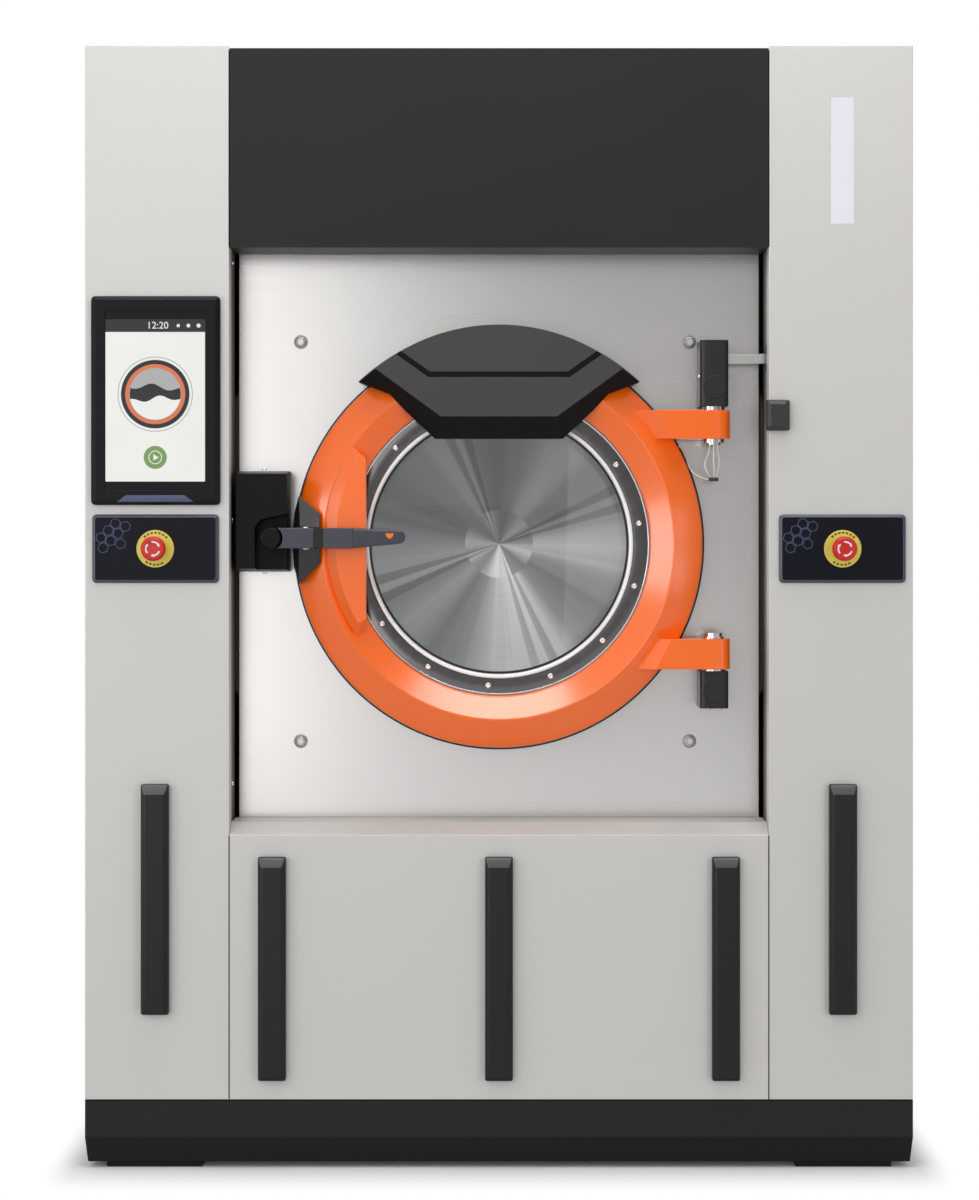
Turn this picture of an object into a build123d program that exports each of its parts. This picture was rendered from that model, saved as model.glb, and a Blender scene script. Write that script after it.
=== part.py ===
from build123d import *
import os
from math import acos, cos, pi, radians, sin, sqrt, tan

# Soft-mounted washer-extractor with a front door, in millimetres.
# +Z is up and the front faces -Y. The origin is on the floor under the middle of the cabinet.

os.makedirs("parts", exist_ok=True)

# Cabinet, overall
body_width = 1350.0
body_depth = 1300.0
tub_side_space = 170.0
under_space = 512.0
head_space = 308.0
lock_space = 102.0
column_fold_depth = 42.0
recess_depth = 125.0
sheet = 2.0
sheet_bend = 1.2
panel_gap = 0.5
foot_height = 10.0
foot_size = 156.0
foot_inset = 34.0
foot_end_inset = 12.0
plinth_top = 111.0
skirt_thickness = 8.0
skirt_taper_height = 40.0
skirt_taper = 4.5
lower_bevel_depth = 35.0
lower_bevel_rise = 18.0
cover_drop = 6.0

# Running gaps and small clearances
running = 0.04
seat_gap = 0.3
fit_gap = 0.1
plate_slide_gap = 5.0
suspension_travel = 8.0
overrun = 30.0

# Frame of the cabinet and of the swinging tub
rail_width = 110.0
tube_wall = 5.0
cross_rail_height = 60.0
cross_rail_width = 60.0
spring_rail_width = 160.0
post_size = 50.0
spring_inset_x = 175.0
spring_inset_y = 320.0
spring_radius = 78.0
spring_waist = 58.0
spring_plate = 8.0
spring_plate_radius = 66.0
cradle_bottom = 300.0
cradle_height = 80.0
cradle_width = 80.0
cradle_front_reach = 120.0
cradle_rear_reach = 140.0
saddle_thickness = 16.0
saddle_inset = 60.0
damper_inset = 130.0
damper_tube_radius = 28.0
damper_tube_top = 240.0
damper_bore_floor = 122.0
damper_rod_radius = 12.0
damper_rod_bottom = 150.0

# Tub, drum and drive
plate_up = 484.0
plate_down = 456.0
plate_side_gap = 6.0
plate_thickness = 3.0
plate_overlap = 16.0
plate_bolt_inset_left = 103.0
plate_bolt_inset_right = 116.0
plate_bolt_inset_up = 146.0
plate_bolt_inset_down = 127.0
plate_bolt_radius = 11.5
plate_bolt_head = 8.0
neck_inset = 10.0
neck_length = 20.0
neck_wall = 6.0
tub_wall = 5.0
drive_space = 500.0
drum_side_gap = 35.0
drum_wall = 3.0
drum_front_gap = 19.0
drum_rear_gap = 50.0
drum_mouth_step = 10.0
drum_back_rise = 45.0
drum_back_wall = 4.0
drum_hub_radius = 63.0
rib_angle = 21.0
rib_count = 4
rib_spacing = 26.0
rib_width = 9.0
rib_height = 5.0
lifter_count = 3
lifter_height = 90.0
lifter_base = 120.0
lifter_crown = 50.0
lifter_wall = 3.0
lifter_cavity_step = 3.6
shaft_radius = 45.0
shaft_tail_radius = 38.0
spider_arm_width = 70.0
spider_arm_depth = 34.0
housing_flange_radius = 190.0
housing_flange = 20.0
housing_tail_radius = 112.0
housing_length = 280.0
housing_rib_count = 6
housing_rib_thickness = 14.0
bearing_radius = 82.0
bearing_width = 42.0
seal_radius = 70.0
seal_width = 12.0
pulley_radius = 260.0
motor_pulley_radius = 75.0
pulley_gap = 42.0
pulley_width = 66.0
pulley_rim = 16.0
pulley_web = 12.0
belt_count = 3
belt_width = 13.0
belt_height = 10.0
belt_sink = belt_height / 2 + seat_gap
motor_radius = 116.0
motor_fin = 12.0
motor_fin_count = 18
motor_length = 240.0
motor_gap = 47.0
motor_axis_height = 140.0
motor_shaft_radius = 24.0
motor_plate = 20.0
motor_web_x = 81.0

# Door
ring_radius = 338.0
ring_outer_slope = 49.0
ring_inner_slope = 39.0
ring_edge_out = 41.0
ring_crest_out = 88.0
ring_inner_out = 67.0
ring_wall = 5.0
rim_edge = 3.0
rim_out = 31.0
rim_chamfer = 5.0
gasket_depth = 8.0
gasket_inner_step = 4.0
gasket_outer_step = 24.0
retainer_out = 53.0
retainer_width = 28.0
bezel_width = 7.0
glass_thickness = 8.0
glass_flat = 10.0
glass_dome_depth = 15.0
retainer_screw_count = 14
retainer_screw_inset = 16.0
retainer_screw_radius = 5.5
retainer_screw_phase = 8.5
retainer_screw_crown = 3.3

# Door cap, seen from the front: points from the middle of the door, as shares of the ring's radius
cap_arc_share = 0.9941
cap_arc_rise_share = 0.068
cap_tip_shares = (0.6834, 0.7899)
cap_shoulder_shares = (0.5325, 0.7308)
cap_notch_shares = (0.4556, 0.6479)
cap_foot_shares = (0.3107, 0.513)
cap_face_tip_shares = (0.5976, 0.8491)
cap_face_foot_shares = (0.2811, 0.6183)
cap_face_out = 117.0
cap_skirt_out = 89.0
cap_groove_width = 9.0
cap_groove_depth = 3.0
cap_groove_end_shares = (0.4822, 0.9231)
cap_groove_corner_shares = (0.3373, 0.821)
cap_skirt_shares = (0.34, 0.58)

# Pull plate, latch bracket and lever
pull_edge_share = -0.645
pull_face_out = 101.0
pull_base_shares = ((-0.7145, 0.4808), (-0.8438, 0.034), (-0.6941, -0.4408))
pull_base_edge_shares = (0.4379, -0.3935)
pull_face_shares = ((-0.6737, 0.4364), (-0.7908, 0.034), (-0.6834, -0.3817))
pull_face_edge_shares = (0.4172, -0.3609)
bracket_corner_shares = ((-0.9763, 0.2331), (-0.8766, 0.1515), (-0.8707, -0.0964),
                         (-0.9793, -0.1967))
bracket_chamfer = 15.0
latch_z = 10.0
latch_pivot_inset = 23.0
latch_pivot_out = 121.0
lug_radius = 8.0
lug_height = 12.0
latch_pin_radius = 4.0
latch_pin_head = 5.5
latch_pin_head_height = 1.5
bracket_face_out = 96.0
lever_height = 33.5
lever_front = 13.0
lever_back = 11.0
lever_left = 48.0
lever_right = 76.4
lever_neck_start = 12.5
lever_neck_length = 16.7
lever_neck_inset = 1.2
lever_swing = 35.0
grip_length = 86.0
grip_tip_height = 20.0
grip_tip_depth = 15.0
grip_tip_rise = 1.9
grip_tip_round = 6.0
boss_step = 34.0
boss_radius = 17.5
boss_gap = 2.6
boss_face_out = 127.0

# Lock box
lock_edge_gap = 3.0
lock_ring_gap = 10.0
lock_top = 122.0
lock_bottom = -46.0
lock_face_out = 103.0
lock_recess_out = 75.0
lock_recess_step = 27.6
lock_draft = 6.0
lock_corner = (8.75, 29.75)
lock_slope_rise = 45.5

# Hinges
hinge_step = 16.0
hinge_out = 65.0
hinge_pin_radius = 9.0
arm_front = 27.0
upper_arm = (173.5, 220.5)
lower_arm = (-205.5, -155.5)
upper_block = (227.0, 336.0)
lower_block = (-270.0, -209.0)
block_width = 47.0
block_face_out = 87.0
washer_radius = 18.0
washer_thickness = 6.0
thin_washer = 3.0
pin_head_radius = 11.5
pin_head_height = 3.0
bush_radius = 14.0
bush_height = 6.0
block_disc_radius = 19.0
block_disc_height = 2.0
upper_disc_rise = 31.5
arm_tip_shares = (0.7604, 0.6183)
arm_reach_shares = (0.8373, 0.7204)

# Conduit and hinge wires
conduit_z = 307.0
conduit_height = 16.0
conduit_depth = 10.0
conduit_out = 45.0
conduit_overlap = 30.0
wire_diameter = 2.6
tie_z = 107.0
tie_width = 16.0
tie_depth = 12.0
tie_height = 6.0
bend_share = 0.45
left_wire = ((-6.0, 0.0, 0.0), (-7.0, -1.0, -12.0), (-16.0, -6.0, -30.0), (-11.0, -4.0, -47.0),
             (-5.0, 0.0))
middle_wire = ((0.0, -4.0, 0.0), (0.0, -5.0, -13.0), (-1.0, -12.0, -29.0), (1.0, -9.0, -44.0),
               (0.0, -3.0))
right_wire = ((6.0, 0.0, 0.0), (7.0, 1.0, -12.0), (11.0, 6.0, -29.0), (7.0, 3.0, -46.0), (4.0, 0.0))
lead_start = (-8.0, 0.0, -3.0)
lead_rise = ((-20.0, 4.0, -1.0), (-38.0, 14.0, 12.0), (-43.0, 24.0, 32.0))
lead_end_z = 160.0
lead_turn = (8.0, 28.0, -3.0)
lead_end = (0.0, 30.0, 3.0)

# Controls and lamps
control_offset = 1.5
control_up = 234.0
control_width = 210.0
control_height = 340.0
control_depth = 14.0
control_bevel = 6.0
display_width = 162.0
display_height = 264.0
display_glass = 3.0
display_sink = 1.0
tab_bottom_width = 124.5
tab_top_width = 95.7
tab_height = 11.0
tab_drop = 159.7
tab_raise = 1.2
stop_offset = 2.0
stop_down = 7.2
stop_plate_width = 206.0
stop_plate_height = 111.5
stop_plate_depth = 8.0
stop_plate_bevel = 4.0
stop_legend_radius = 30.5
stop_legend = 1.5
stop_barrel_radius = 11.1
stop_barrel_depth = 34.0
stop_head_radius = 20.0
stop_reach = 46.0
stop_head_depth = 16.0
stop_neck_radius = 12.0
stop_neck_depth = 9.0
stop_stem_radius = 7.5
stop_journal_radius = 5.0
lamp_offset = 2.5
lamp_drop = 187.0
lamp_width = 37.0
lamp_height = 206.0
lamp_depth = 12.0
lamp_proud = 0.8
lamp_flange = 5.0

# Bumpers
bumper_width = 45.5
bumper_depth = 22.0
bumper_top_bevel = 16.0
bumper_bevel = 6.0
bumper_offset = 2.5
column_bumper_z = 439.0
column_bumper_height = 375.0
panel_bumper_inset = 70.5
panel_bumper_rise = 33.0
panel_bumper_drop = 35.0
door_stop_overhang = 6.0
door_stop_width = 39.0
door_stop_up = 185.0
door_stop_height = 50.0
door_stop_depth = 22.0
door_stop_bevel = 6.0

# Rear services
service_reach = 46.0
drain_radius = 38.0
drain_wall = 3.0
drain_z = 215.0
sump_width = 130.0
valve_thread_radius = 13.2
valve_spacing = 90.0
valve_drop = 270.0
valve_body = 46.0
valve_coil_radius = 17.0
valve_bore_radius = 9.0
valve_collar_radius = 17.0
valve_collar = 6.0
inverter_size = (110.0, 320.0, 420.0)
inverter_drop = 270.0
inverter_wall = 2.0
power_hole_radius = 16.0
power_hole_inset = 225.0

# Cabinet planes worked out from the sizes above
front = -body_depth / 2
rear = body_depth / 2
side = body_width / 2
recess = front + recess_depth
plate_back = recess + plate_thickness
column_inner = ring_radius + lock_space
column_middle = (column_inner + side) / 2
rail_outer = side - skirt_thickness
rail_inner = rail_outer - rail_width
tub_radius = side - tub_side_space
body_height = under_space + 2 * tub_radius + head_space
cover_top = body_height - cover_drop
swing_gap = suspension_travel + plate_slide_gap

# Tub, drum and drive worked out from the cabinet
door_z = under_space + tub_radius
fascia_bottom = door_z + plate_up
ledge_top = door_z - plate_down
lower_panel_top = ledge_top - lower_bevel_rise
tub_front = recess + neck_length
tub_rear = rear - drive_space
drum_radius = tub_radius - drum_side_gap
drum_front = tub_front + drum_front_gap
drum_rear = tub_rear - drum_rear_gap
housing_rear = tub_rear + housing_length
pulley_front = housing_rear + pulley_gap
motor_rear = pulley_front - motor_gap
motor_front = motor_rear - motor_length
spring_x = tub_radius - spring_inset_x
spring_y = rear - spring_inset_y
damper_x = spring_x - damper_inset
cradle_front = -spring_y - cradle_front_reach
cradle_rear = spring_y + cradle_rear_reach

# Door worked out from its ring and from the tub plate's face
ring_crest_radius = ring_radius - ring_outer_slope
ring_inner_radius = ring_crest_radius - ring_inner_slope
ring_edge_y = recess - ring_edge_out
ring_crest_y = recess - ring_crest_out
ring_inner_y = recess - ring_inner_out
rim_radius = ring_radius + rim_edge
rim_front = recess - rim_out
retainer_y = recess - retainer_out
bezel_radius = ring_inner_radius - retainer_width
glass_radius = bezel_radius - bezel_width
glass_dome_radius = glass_radius - glass_flat
neck_radius = ring_inner_radius - neck_inset
drum_mouth_radius = neck_radius + drum_mouth_step
door_back = recess - gasket_depth - seat_gap
latch_height = door_z + latch_z
latch_pivot_x = latch_pivot_inset - ring_radius
latch_pivot_y = recess - latch_pivot_out
bracket_face_y = recess - bracket_face_out
boss_x = -ring_radius - boss_step
hinge_x = ring_radius + hinge_step
hinge_y = recess - hinge_out
conduit_y = recess - conduit_out

# Controls and services worked out from what carries them
stop_x = column_middle + stop_offset
stop_z = door_z - stop_down
stop_head_face_y = front - stop_reach
lamp_x = column_middle + lamp_offset
lamp_z = body_height - lamp_drop
valve_z = body_height - valve_drop

parts = {}


def keep(name, *shapes):
    """Files shapes under a node's name; each separate solid stays separate."""
    parts[name] = [solid for shape in shapes for solid in shape.solids()]


def block(x, y, z):
    """A box from three (low, high) pairs."""
    spans = (x, y, z)
    middle = [(low + high) / 2 for low, high in spans]
    size = [high - low for low, high in spans]
    return Pos(*middle) * Box(*size)


def tube_bar(x, y, z, axis):
    """A hollow section between three (low, high) pairs, open at both ends along the given axis."""
    inner = [(low + tube_wall, high - tube_wall) for low, high in (x, y, z)]
    inner[axis] = ((x, y, z)[axis][0] - overrun, (x, y, z)[axis][1] + overrun)
    return block(x, y, z) - block(*inner)


def both(half):
    """The low and high value of a span centred on zero."""
    return (-half, half)


def span(start, length):
    """A (low, high) pair from its low end."""
    return (start, start + length)


def around(middle, size):
    """A (low, high) pair about its middle."""
    return (middle - size / 2, middle + size / 2)


def turned(profile, x=0.0, z=door_z):
    """A solid turned about a line along Y, from (radius, y) points."""
    face = make_face(Polyline(*profile, close=True))
    return Pos(x, 0, z) * revolve(face, Axis.Y)


def upright(profile, x, y):
    """A solid turned about a line along Z, from (radius, z) points."""
    points = [(radius, 0, z) for radius, z in profile]
    return Pos(x, y, 0) * revolve(make_face(Polyline(*points, close=True)), Axis.Z)


def front_face(points, y):
    """A flat face seen from the front, from (x, z) points about the door's centre."""
    return make_face(Polyline(*[(x, y, door_z + z) for x, z in points], close=True))


def along_y(face, length):
    return extrude(face, amount=length, dir=(0, 1, 0))


def folded_x(points, x):
    """A sheet section in (y, z) points, run along X from x[0] to x[1]."""
    face = make_face(Polyline(*[(x[0], y, z) for y, z in points], close=True))
    return extrude(face, amount=x[1] - x[0], dir=(1, 0, 0))


def folded_z(points, z):
    """A sheet section in (x, y) points, run up from z[0] to z[1]."""
    face = make_face(Polyline(*[(x, y, z[0]) for x, y in points], close=True))
    return extrude(face, amount=z[1] - z[0], dir=(0, 0, 1))


def round_rod(x, y, z, radius):
    """A cylinder between two points that differ along one axis, given as a (low, high) pair."""
    if isinstance(y, tuple):
        return turned([(0, y[0]), (radius, y[0]), (radius, y[1]), (0, y[1])], x, z)
    return upright([(0, z[0]), (radius, z[0]), (radius, z[1]), (0, z[1])], x, y)


# Floor frame: hollow-section side and cross rails on four pads
def floor_frame():
    rail_ends = both(rear - skirt_thickness)
    side_rails = [tube_bar(sorted((s * rail_inner, s * rail_outer)), rail_ends, (foot_height, plinth_top), 1)
                  for s in (-1, 1)]
    cross_z = (plinth_top - cross_rail_height, plinth_top)
    end_middle = rear - skirt_thickness - cross_rail_width / 2
    cross_rails = [tube_bar(both(rail_inner), around(s * end_middle, cross_rail_width), cross_z, 0)
                   for s in (-1, 1)]
    cross_rails += [tube_bar(both(rail_inner), around(s * spring_y, spring_rail_width), cross_z, 0)
                    for s in (-1, 1)]
    keep("base_rails", *side_rails, *cross_rails)
    pad_x = side - foot_inset - foot_size / 2
    pad_y = rear - foot_end_inset - foot_size / 2
    keep("foot_pads", *[block(around(sx * pad_x, foot_size), around(sy * pad_y, foot_size), (0, foot_height))
                        for sx in (-1, 1) for sy in (-1, 1)])


def plinth():
    """Four skirts round the floor frame, tapered in towards the floor at the front and sides."""
    low = foot_height
    bend = foot_height + skirt_taper_height
    inner = front + skirt_thickness
    front_skirt = folded_x([(front, plinth_top), (front, bend), (front + skirt_taper, low),
                            (inner, low), (inner, plinth_top)], both(side))
    for s in (-1, 1):
        corner = folded_taper(s, low, bend, overrun)
        front_skirt -= corner
    sides = [side_skirt(s, low, bend) for s in (-1, 1)]
    back = block(both(side), (rear - skirt_thickness, rear), (low, plinth_top))
    keep("plinth_skirts", front_skirt, *sides, back)


def folded_taper(s, low, bend, extra):
    """The wedge that a side taper takes off, on side s."""
    points = [(s * side, bend), (s * (side - skirt_taper), low), (s * (side + extra), low)]
    face = make_face(Polyline(*[(x, front - extra, z) for x, z in points], close=True))
    return along_y(face, recess_depth)


def side_skirt(s, low, bend):
    points = [(s * side, plinth_top), (s * side, bend), (s * (side - skirt_taper), low),
              (s * rail_outer, low), (s * rail_outer, plinth_top)]
    face = make_face(Polyline(*[(x, front + skirt_thickness, z) for x, z in points], close=True))
    return along_y(face, body_depth - 2 * skirt_thickness)


def upper_frame():
    """Four corner posts and the four rails across their tops."""
    top = cover_top - sheet
    rail_z = (top - post_size, top)
    middle_x = rail_outer - post_size / 2
    middle_y = rear - column_fold_depth - post_size / 2
    posts = [tube_bar(around(sx * middle_x, post_size), around(sy * middle_y, post_size),
                      (plinth_top, rail_z[0]), 2)
             for sx in (-1, 1) for sy in (-1, 1)]
    sides = [tube_bar(around(s * middle_x, post_size), both(middle_y + post_size / 2), rail_z, 1)
             for s in (-1, 1)]
    ends = [tube_bar(both(middle_x - post_size / 2), around(s * middle_y, post_size), rail_z, 0)
            for s in (-1, 1)]
    keep("upper_frame", *posts, *sides, *ends)


# Cabinet skins: folded stainless sheet
def column(s):
    """A front column: one sheet folded back at both edges."""
    outer = s * side
    inner = s * column_inner
    back = front + column_fold_depth
    points = [(inner, front), (outer, front), (outer, back), (outer - s * sheet, back),
              (outer - s * sheet, front + sheet), (inner + s * sheet, front + sheet),
              (inner + s * sheet, back), (inner, back)]
    shell = folded_z(points, (plinth_top, body_height))
    upright_edges = shell.edges().filter_by(Axis.Z).group_by(Axis.Y)[0]
    shell = fillet(upright_edges, sheet_bend)
    notch_x = sorted((inner - s * overrun, inner + s * sheet))
    shell -= block(notch_x, (front + sheet, back + overrun), (cover_top - sheet, body_height + overrun))
    hole = stop_barrel_radius + seat_gap
    return shell - round_rod(s * stop_x, (front - overrun, front + overrun), stop_z, hole)


def columns():
    keep("left_column", column(-1))
    window = block(around(lamp_x, lamp_width + 2 * panel_gap), (front - overrun, front + overrun),
                   around(lamp_z, lamp_height + 2 * panel_gap))
    keep("right_column", column(1) - window)


def recess_cheeks():
    """The side walls of the recess; the right one has a slot for the conduit."""
    top = cover_top - sheet - post_size
    middle = column_inner + 1.5 * sheet
    cheeks = [block(around(s * middle, sheet), (front + sheet, plate_back + plate_slide_gap),
                    (plinth_top, top))
              for s in (-1, 1)]
    slot = block((middle - overrun, middle + overrun), around(conduit_y, conduit_depth + swing_gap),
                 around(door_z + conduit_z, conduit_height + 2 * swing_gap))
    keep("recess_cheeks", cheeks[0], cheeks[1] - slot)


def header():
    """The black fascia, folded back under itself to the tub plate and over the top cover."""
    half = column_inner - panel_gap
    back = recess - plate_slide_gap
    top = cover_top + sheet
    fold = front + column_fold_depth
    points = [(front, fascia_bottom), (front, top), (fold, top), (fold, top - sheet),
              (front + sheet, top - sheet),
              (front + sheet, fascia_bottom + sheet), (back, fascia_bottom + sheet), (back, fascia_bottom)]
    keep("header_fascia", folded_x(points, both(half)))


def lower_panel():
    """The service panel under the door, with a bevel and a ledge back to the tub plate."""
    half = column_inner - panel_gap
    back = recess - plate_slide_gap
    bevel = front + lower_bevel_depth
    inset = sheet * tan(0.5 * acos(lower_bevel_rise / sqrt(lower_bevel_rise ** 2 + lower_bevel_depth ** 2)))
    points = [(front, plinth_top), (front, lower_panel_top), (bevel, ledge_top), (back, ledge_top),
              (back, ledge_top - sheet), (bevel + inset / 2, ledge_top - sheet),
              (front + sheet, lower_panel_top - inset / 2), (front + sheet, plinth_top)]
    keep("lower_panel", folded_x(points, both(half)))


def skins():
    fold = front + column_fold_depth
    keep("side_panels", *[block(sorted((s * side, s * (side - sheet))), (fold, rear),
                                (plinth_top, body_height))
                          for s in (-1, 1)])
    keep("top_cover", block(both(side - sheet), (front + sheet, rear - sheet),
                            (cover_top - sheet, cover_top)))
    panel = block(both(side - sheet), (rear - sheet, rear), (plinth_top, body_height))
    panel -= round_rod(0, (rear - overrun, rear + overrun), drain_z, drain_radius + swing_gap)
    for x in valve_places():
        panel -= round_rod(x, (rear - overrun, rear + overrun), valve_z, valve_thread_radius + panel_gap)
    panel -= round_rod(power_hole_inset - side, (rear - overrun, rear + overrun), valve_z, power_hole_radius)
    keep("rear_panel", panel)


# Fittings on the cabinet front
def control_panel():
    """A bevelled housing with a glass display let into it and a raised tab along its foot."""
    y = (front - control_depth, front)
    control_x = -column_middle - control_offset
    control_z = door_z + control_up
    shell = block(around(control_x, control_width), y, around(control_z, control_height))
    shell = chamfer(shell.faces().sort_by(Axis.Y)[0].edges(), control_bevel)
    pocket_depth = display_glass + display_sink
    pocket = block(around(control_x, display_width), span(y[0] - overrun, overrun + pocket_depth),
                   around(control_z, display_height))
    low = control_z - tab_drop - tab_height / 2
    tab = [(control_x - tab_bottom_width / 2, low), (control_x + tab_bottom_width / 2, low),
           (control_x + tab_top_width / 2, low + tab_height),
           (control_x - tab_top_width / 2, low + tab_height)]
    tab_face = make_face(Polyline(*[(x, y[0] - tab_raise, z) for x, z in tab], close=True))
    keep("control_housing", shell - pocket + along_y(tab_face, 2 * tab_raise))
    keep("control_display", block(around(control_x, display_width - 2 * fit_gap),
                                  span(y[0] + display_sink, display_glass),
                                  around(control_z, display_height - 2 * fit_gap)))


def stop_controls():
    """Both emergency stops: a plate, a legend disc with its barrel, a stem and a mushroom head."""
    plates = []
    collars = []
    face = front - stop_plate_depth
    legend_face = face - stop_legend
    bore = stop_stem_radius + running
    head_back = stop_head_face_y + stop_head_depth
    neck_back = head_back + stop_neck_depth
    journal_end = stop_head_face_y + stop_head_depth / 2
    for s, label in ((-1, "left"), (1, "right")):
        x = s * stop_x
        plate = block(around(x, stop_plate_width), (face, front), around(stop_z, stop_plate_height))
        plate = chamfer(plate.faces().sort_by(Axis.Y)[0].edges(), stop_plate_bevel)
        plates.append(plate - round_rod(x, (face - overrun, front + overrun), stop_z, stop_barrel_radius))
        tail = front + stop_barrel_depth
        collars.append(turned([(bore, legend_face), (stop_legend_radius, legend_face),
                               (stop_legend_radius, face), (stop_barrel_radius, face),
                               (stop_barrel_radius, tail), (bore, tail)], x, stop_z))
        keep(label + "_stop_stem", turned([(0, tail), (stop_stem_radius, tail),
                                           (stop_stem_radius, neck_back + seat_gap),
                                           (stop_journal_radius, neck_back + seat_gap),
                                           (stop_journal_radius, journal_end + seat_gap),
                                           (0, journal_end + seat_gap)], x, stop_z))
        socket = stop_journal_radius + running
        dome = stop_head_radius / 4
        keep(label + "_stop_head", turned([(0, stop_head_face_y),
                                           (stop_head_radius - 2 * dome, stop_head_face_y + dome / 5),
                                           (stop_head_radius - dome / 2, stop_head_face_y + dome / 2),
                                           (stop_head_radius, stop_head_face_y + dome),
                                           (stop_head_radius, head_back - dome / 2),
                                           (stop_head_radius - dome / 2, head_back),
                                           (stop_neck_radius, head_back),
                                           (stop_neck_radius, neck_back), (socket, neck_back),
                                           (socket, journal_end), (0, journal_end)], x, stop_z))
    keep("stop_plates", *plates)
    keep("stop_collars", *collars)


def status_lamp():
    """A tall diffuser set in a window, with a flange behind the sheet."""
    lens = block(around(lamp_x, lamp_width), (front - lamp_proud, front + lamp_depth),
                 around(lamp_z, lamp_height))
    flange = block(around(lamp_x, lamp_width + 2 * lamp_flange), (front + sheet, front + lamp_depth),
                   around(lamp_z, lamp_height + 2 * lamp_flange))
    keep("status_light", lens + flange)


def bumper(x, z, height):
    """A cart bumper: a strip with a long slope at the top and short bevels round the rest."""
    face = front - bumper_depth
    low = z - height / 2
    high = z + height / 2
    strip = folded_x([(front, low), (face + bumper_bevel, low), (face, low + bumper_bevel),
                      (face, high - bumper_top_bevel), (face + bumper_bevel, high), (front, high)],
                     around(x, bumper_width))
    edges = strip.faces().sort_by(Axis.Y)[0].edges().filter_by(Axis.Z)
    return chamfer(edges, bumper_bevel)


def bumpers():
    strips = [bumper(s * (column_middle + bumper_offset), column_bumper_z, column_bumper_height)
              for s in (-1, 1)]
    low = plinth_top + panel_bumper_rise
    high = lower_panel_top - panel_bumper_drop
    strips += [bumper(s * (column_inner - panel_bumper_inset), (low + high) / 2, high - low)
               for s in (-1, 0, 1)]
    keep("cart_bumpers", *strips)
    stop = block(span(column_inner - door_stop_overhang, door_stop_width),
                 (front - door_stop_depth, front), span(door_z + door_stop_up, door_stop_height))
    keep("door_stop", chamfer(stop.faces().sort_by(Axis.Y)[0].edges(), door_stop_bevel))


# Services inside and behind the cabinet
def valve_places():
    return [s * valve_spacing for s in (-1, 0, 1)]


def services():
    valves = []
    for x in valve_places():
        body = block(around(x, valve_body), (rear - sheet - valve_body, rear - sheet),
                     around(valve_z, valve_body))
        stub = turned([(0, rear - sheet), (valve_thread_radius, rear - sheet), (valve_thread_radius, rear),
                       (valve_collar_radius, rear), (valve_collar_radius, rear + valve_collar),
                       (valve_thread_radius, rear + valve_collar),
                       (valve_thread_radius, rear + service_reach),
                       (valve_bore_radius, rear + service_reach),
                       (valve_bore_radius, rear), (0, rear)], x, valve_z)
        top = valve_z + valve_body / 2
        coil = round_rod(x, rear - sheet - valve_body / 2, (top, top + valve_body), valve_coil_radius)
        valves.append(body + stub + coil)
    keep("water_valves", *valves)
    width, depth, height = inverter_size
    outer = sheet - side
    inverter_z = body_height - inverter_drop
    case = block((outer, outer + width), both(depth / 2), around(inverter_z, height))
    case -= block((outer - overrun, outer + width - inverter_wall), both(depth / 2 - inverter_wall),
                  around(inverter_z, height - 2 * inverter_wall))
    keep("inverter_box", case)


def valve_sump():
    """The drain: a sump under the tub, its valve body and a pipe out through the rear panel."""
    floor = drain_z - drain_radius - drain_wall
    saddle = block(both(sump_width / 2), both(sump_width / 2), (floor, door_z - tub_radius + overrun))
    sump = saddle - turned([(0, tub_front), (tub_radius, tub_front), (tub_radius, tub_rear), (0, tub_rear)])
    chamber = both(sump_width / 2 - drain_wall)
    sump -= block(chamber, chamber, (floor + drain_wall, door_z))
    start = sump_width / 2 - drain_wall
    end = rear + service_reach
    outlet = rear + sheet
    pipe = turned([(0, start), (drain_radius - sheet, start), (drain_radius - sheet, outlet),
                   (drain_radius, outlet), (drain_radius, end), (0, end)], 0, drain_z)
    bore = round_rod(0, (start - overrun, end + overrun), drain_z, drain_radius - drain_wall - sheet)
    keep("drain_sump", sump + pipe - bore)


# Tub unit
def tub_plate():
    """The stainless plate round the door, held by four bolts on spacers."""
    plate_half = column_inner - plate_side_gap
    low = ledge_top - plate_overlap
    high = fascia_bottom + plate_overlap
    plate = block(both(plate_half), (recess, plate_back), (low, high))
    plate -= round_rod(0, (recess - overrun, plate_back + overrun), door_z,
                       neck_radius + neck_wall + fit_gap)
    bolts = []
    shank = plate_bolt_radius / 2
    head = plate_bolt_head
    for x in (plate_bolt_inset_left - plate_half, plate_half - plate_bolt_inset_right):
        for z in (plate_up - plate_bolt_inset_up, plate_bolt_inset_down - plate_down):
            plate -= round_rod(x, (recess - overrun, plate_back + overrun), door_z + z, shank + fit_gap)
            bolts.append(turned([(0, recess - head), (head - sheet / 2, recess - head),
                                 (head, recess - head + sheet / 2), (head, recess - sheet),
                                 (plate_bolt_radius, recess - sheet / 2), (plate_bolt_radius, recess),
                                 (shank, recess), (shank, plate_back), (plate_bolt_radius, plate_back),
                                 (plate_bolt_radius, tub_front), (0, tub_front)], x, door_z + z))
    keep("front_plate", plate)
    keep("plate_bolts", *bolts)


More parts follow.
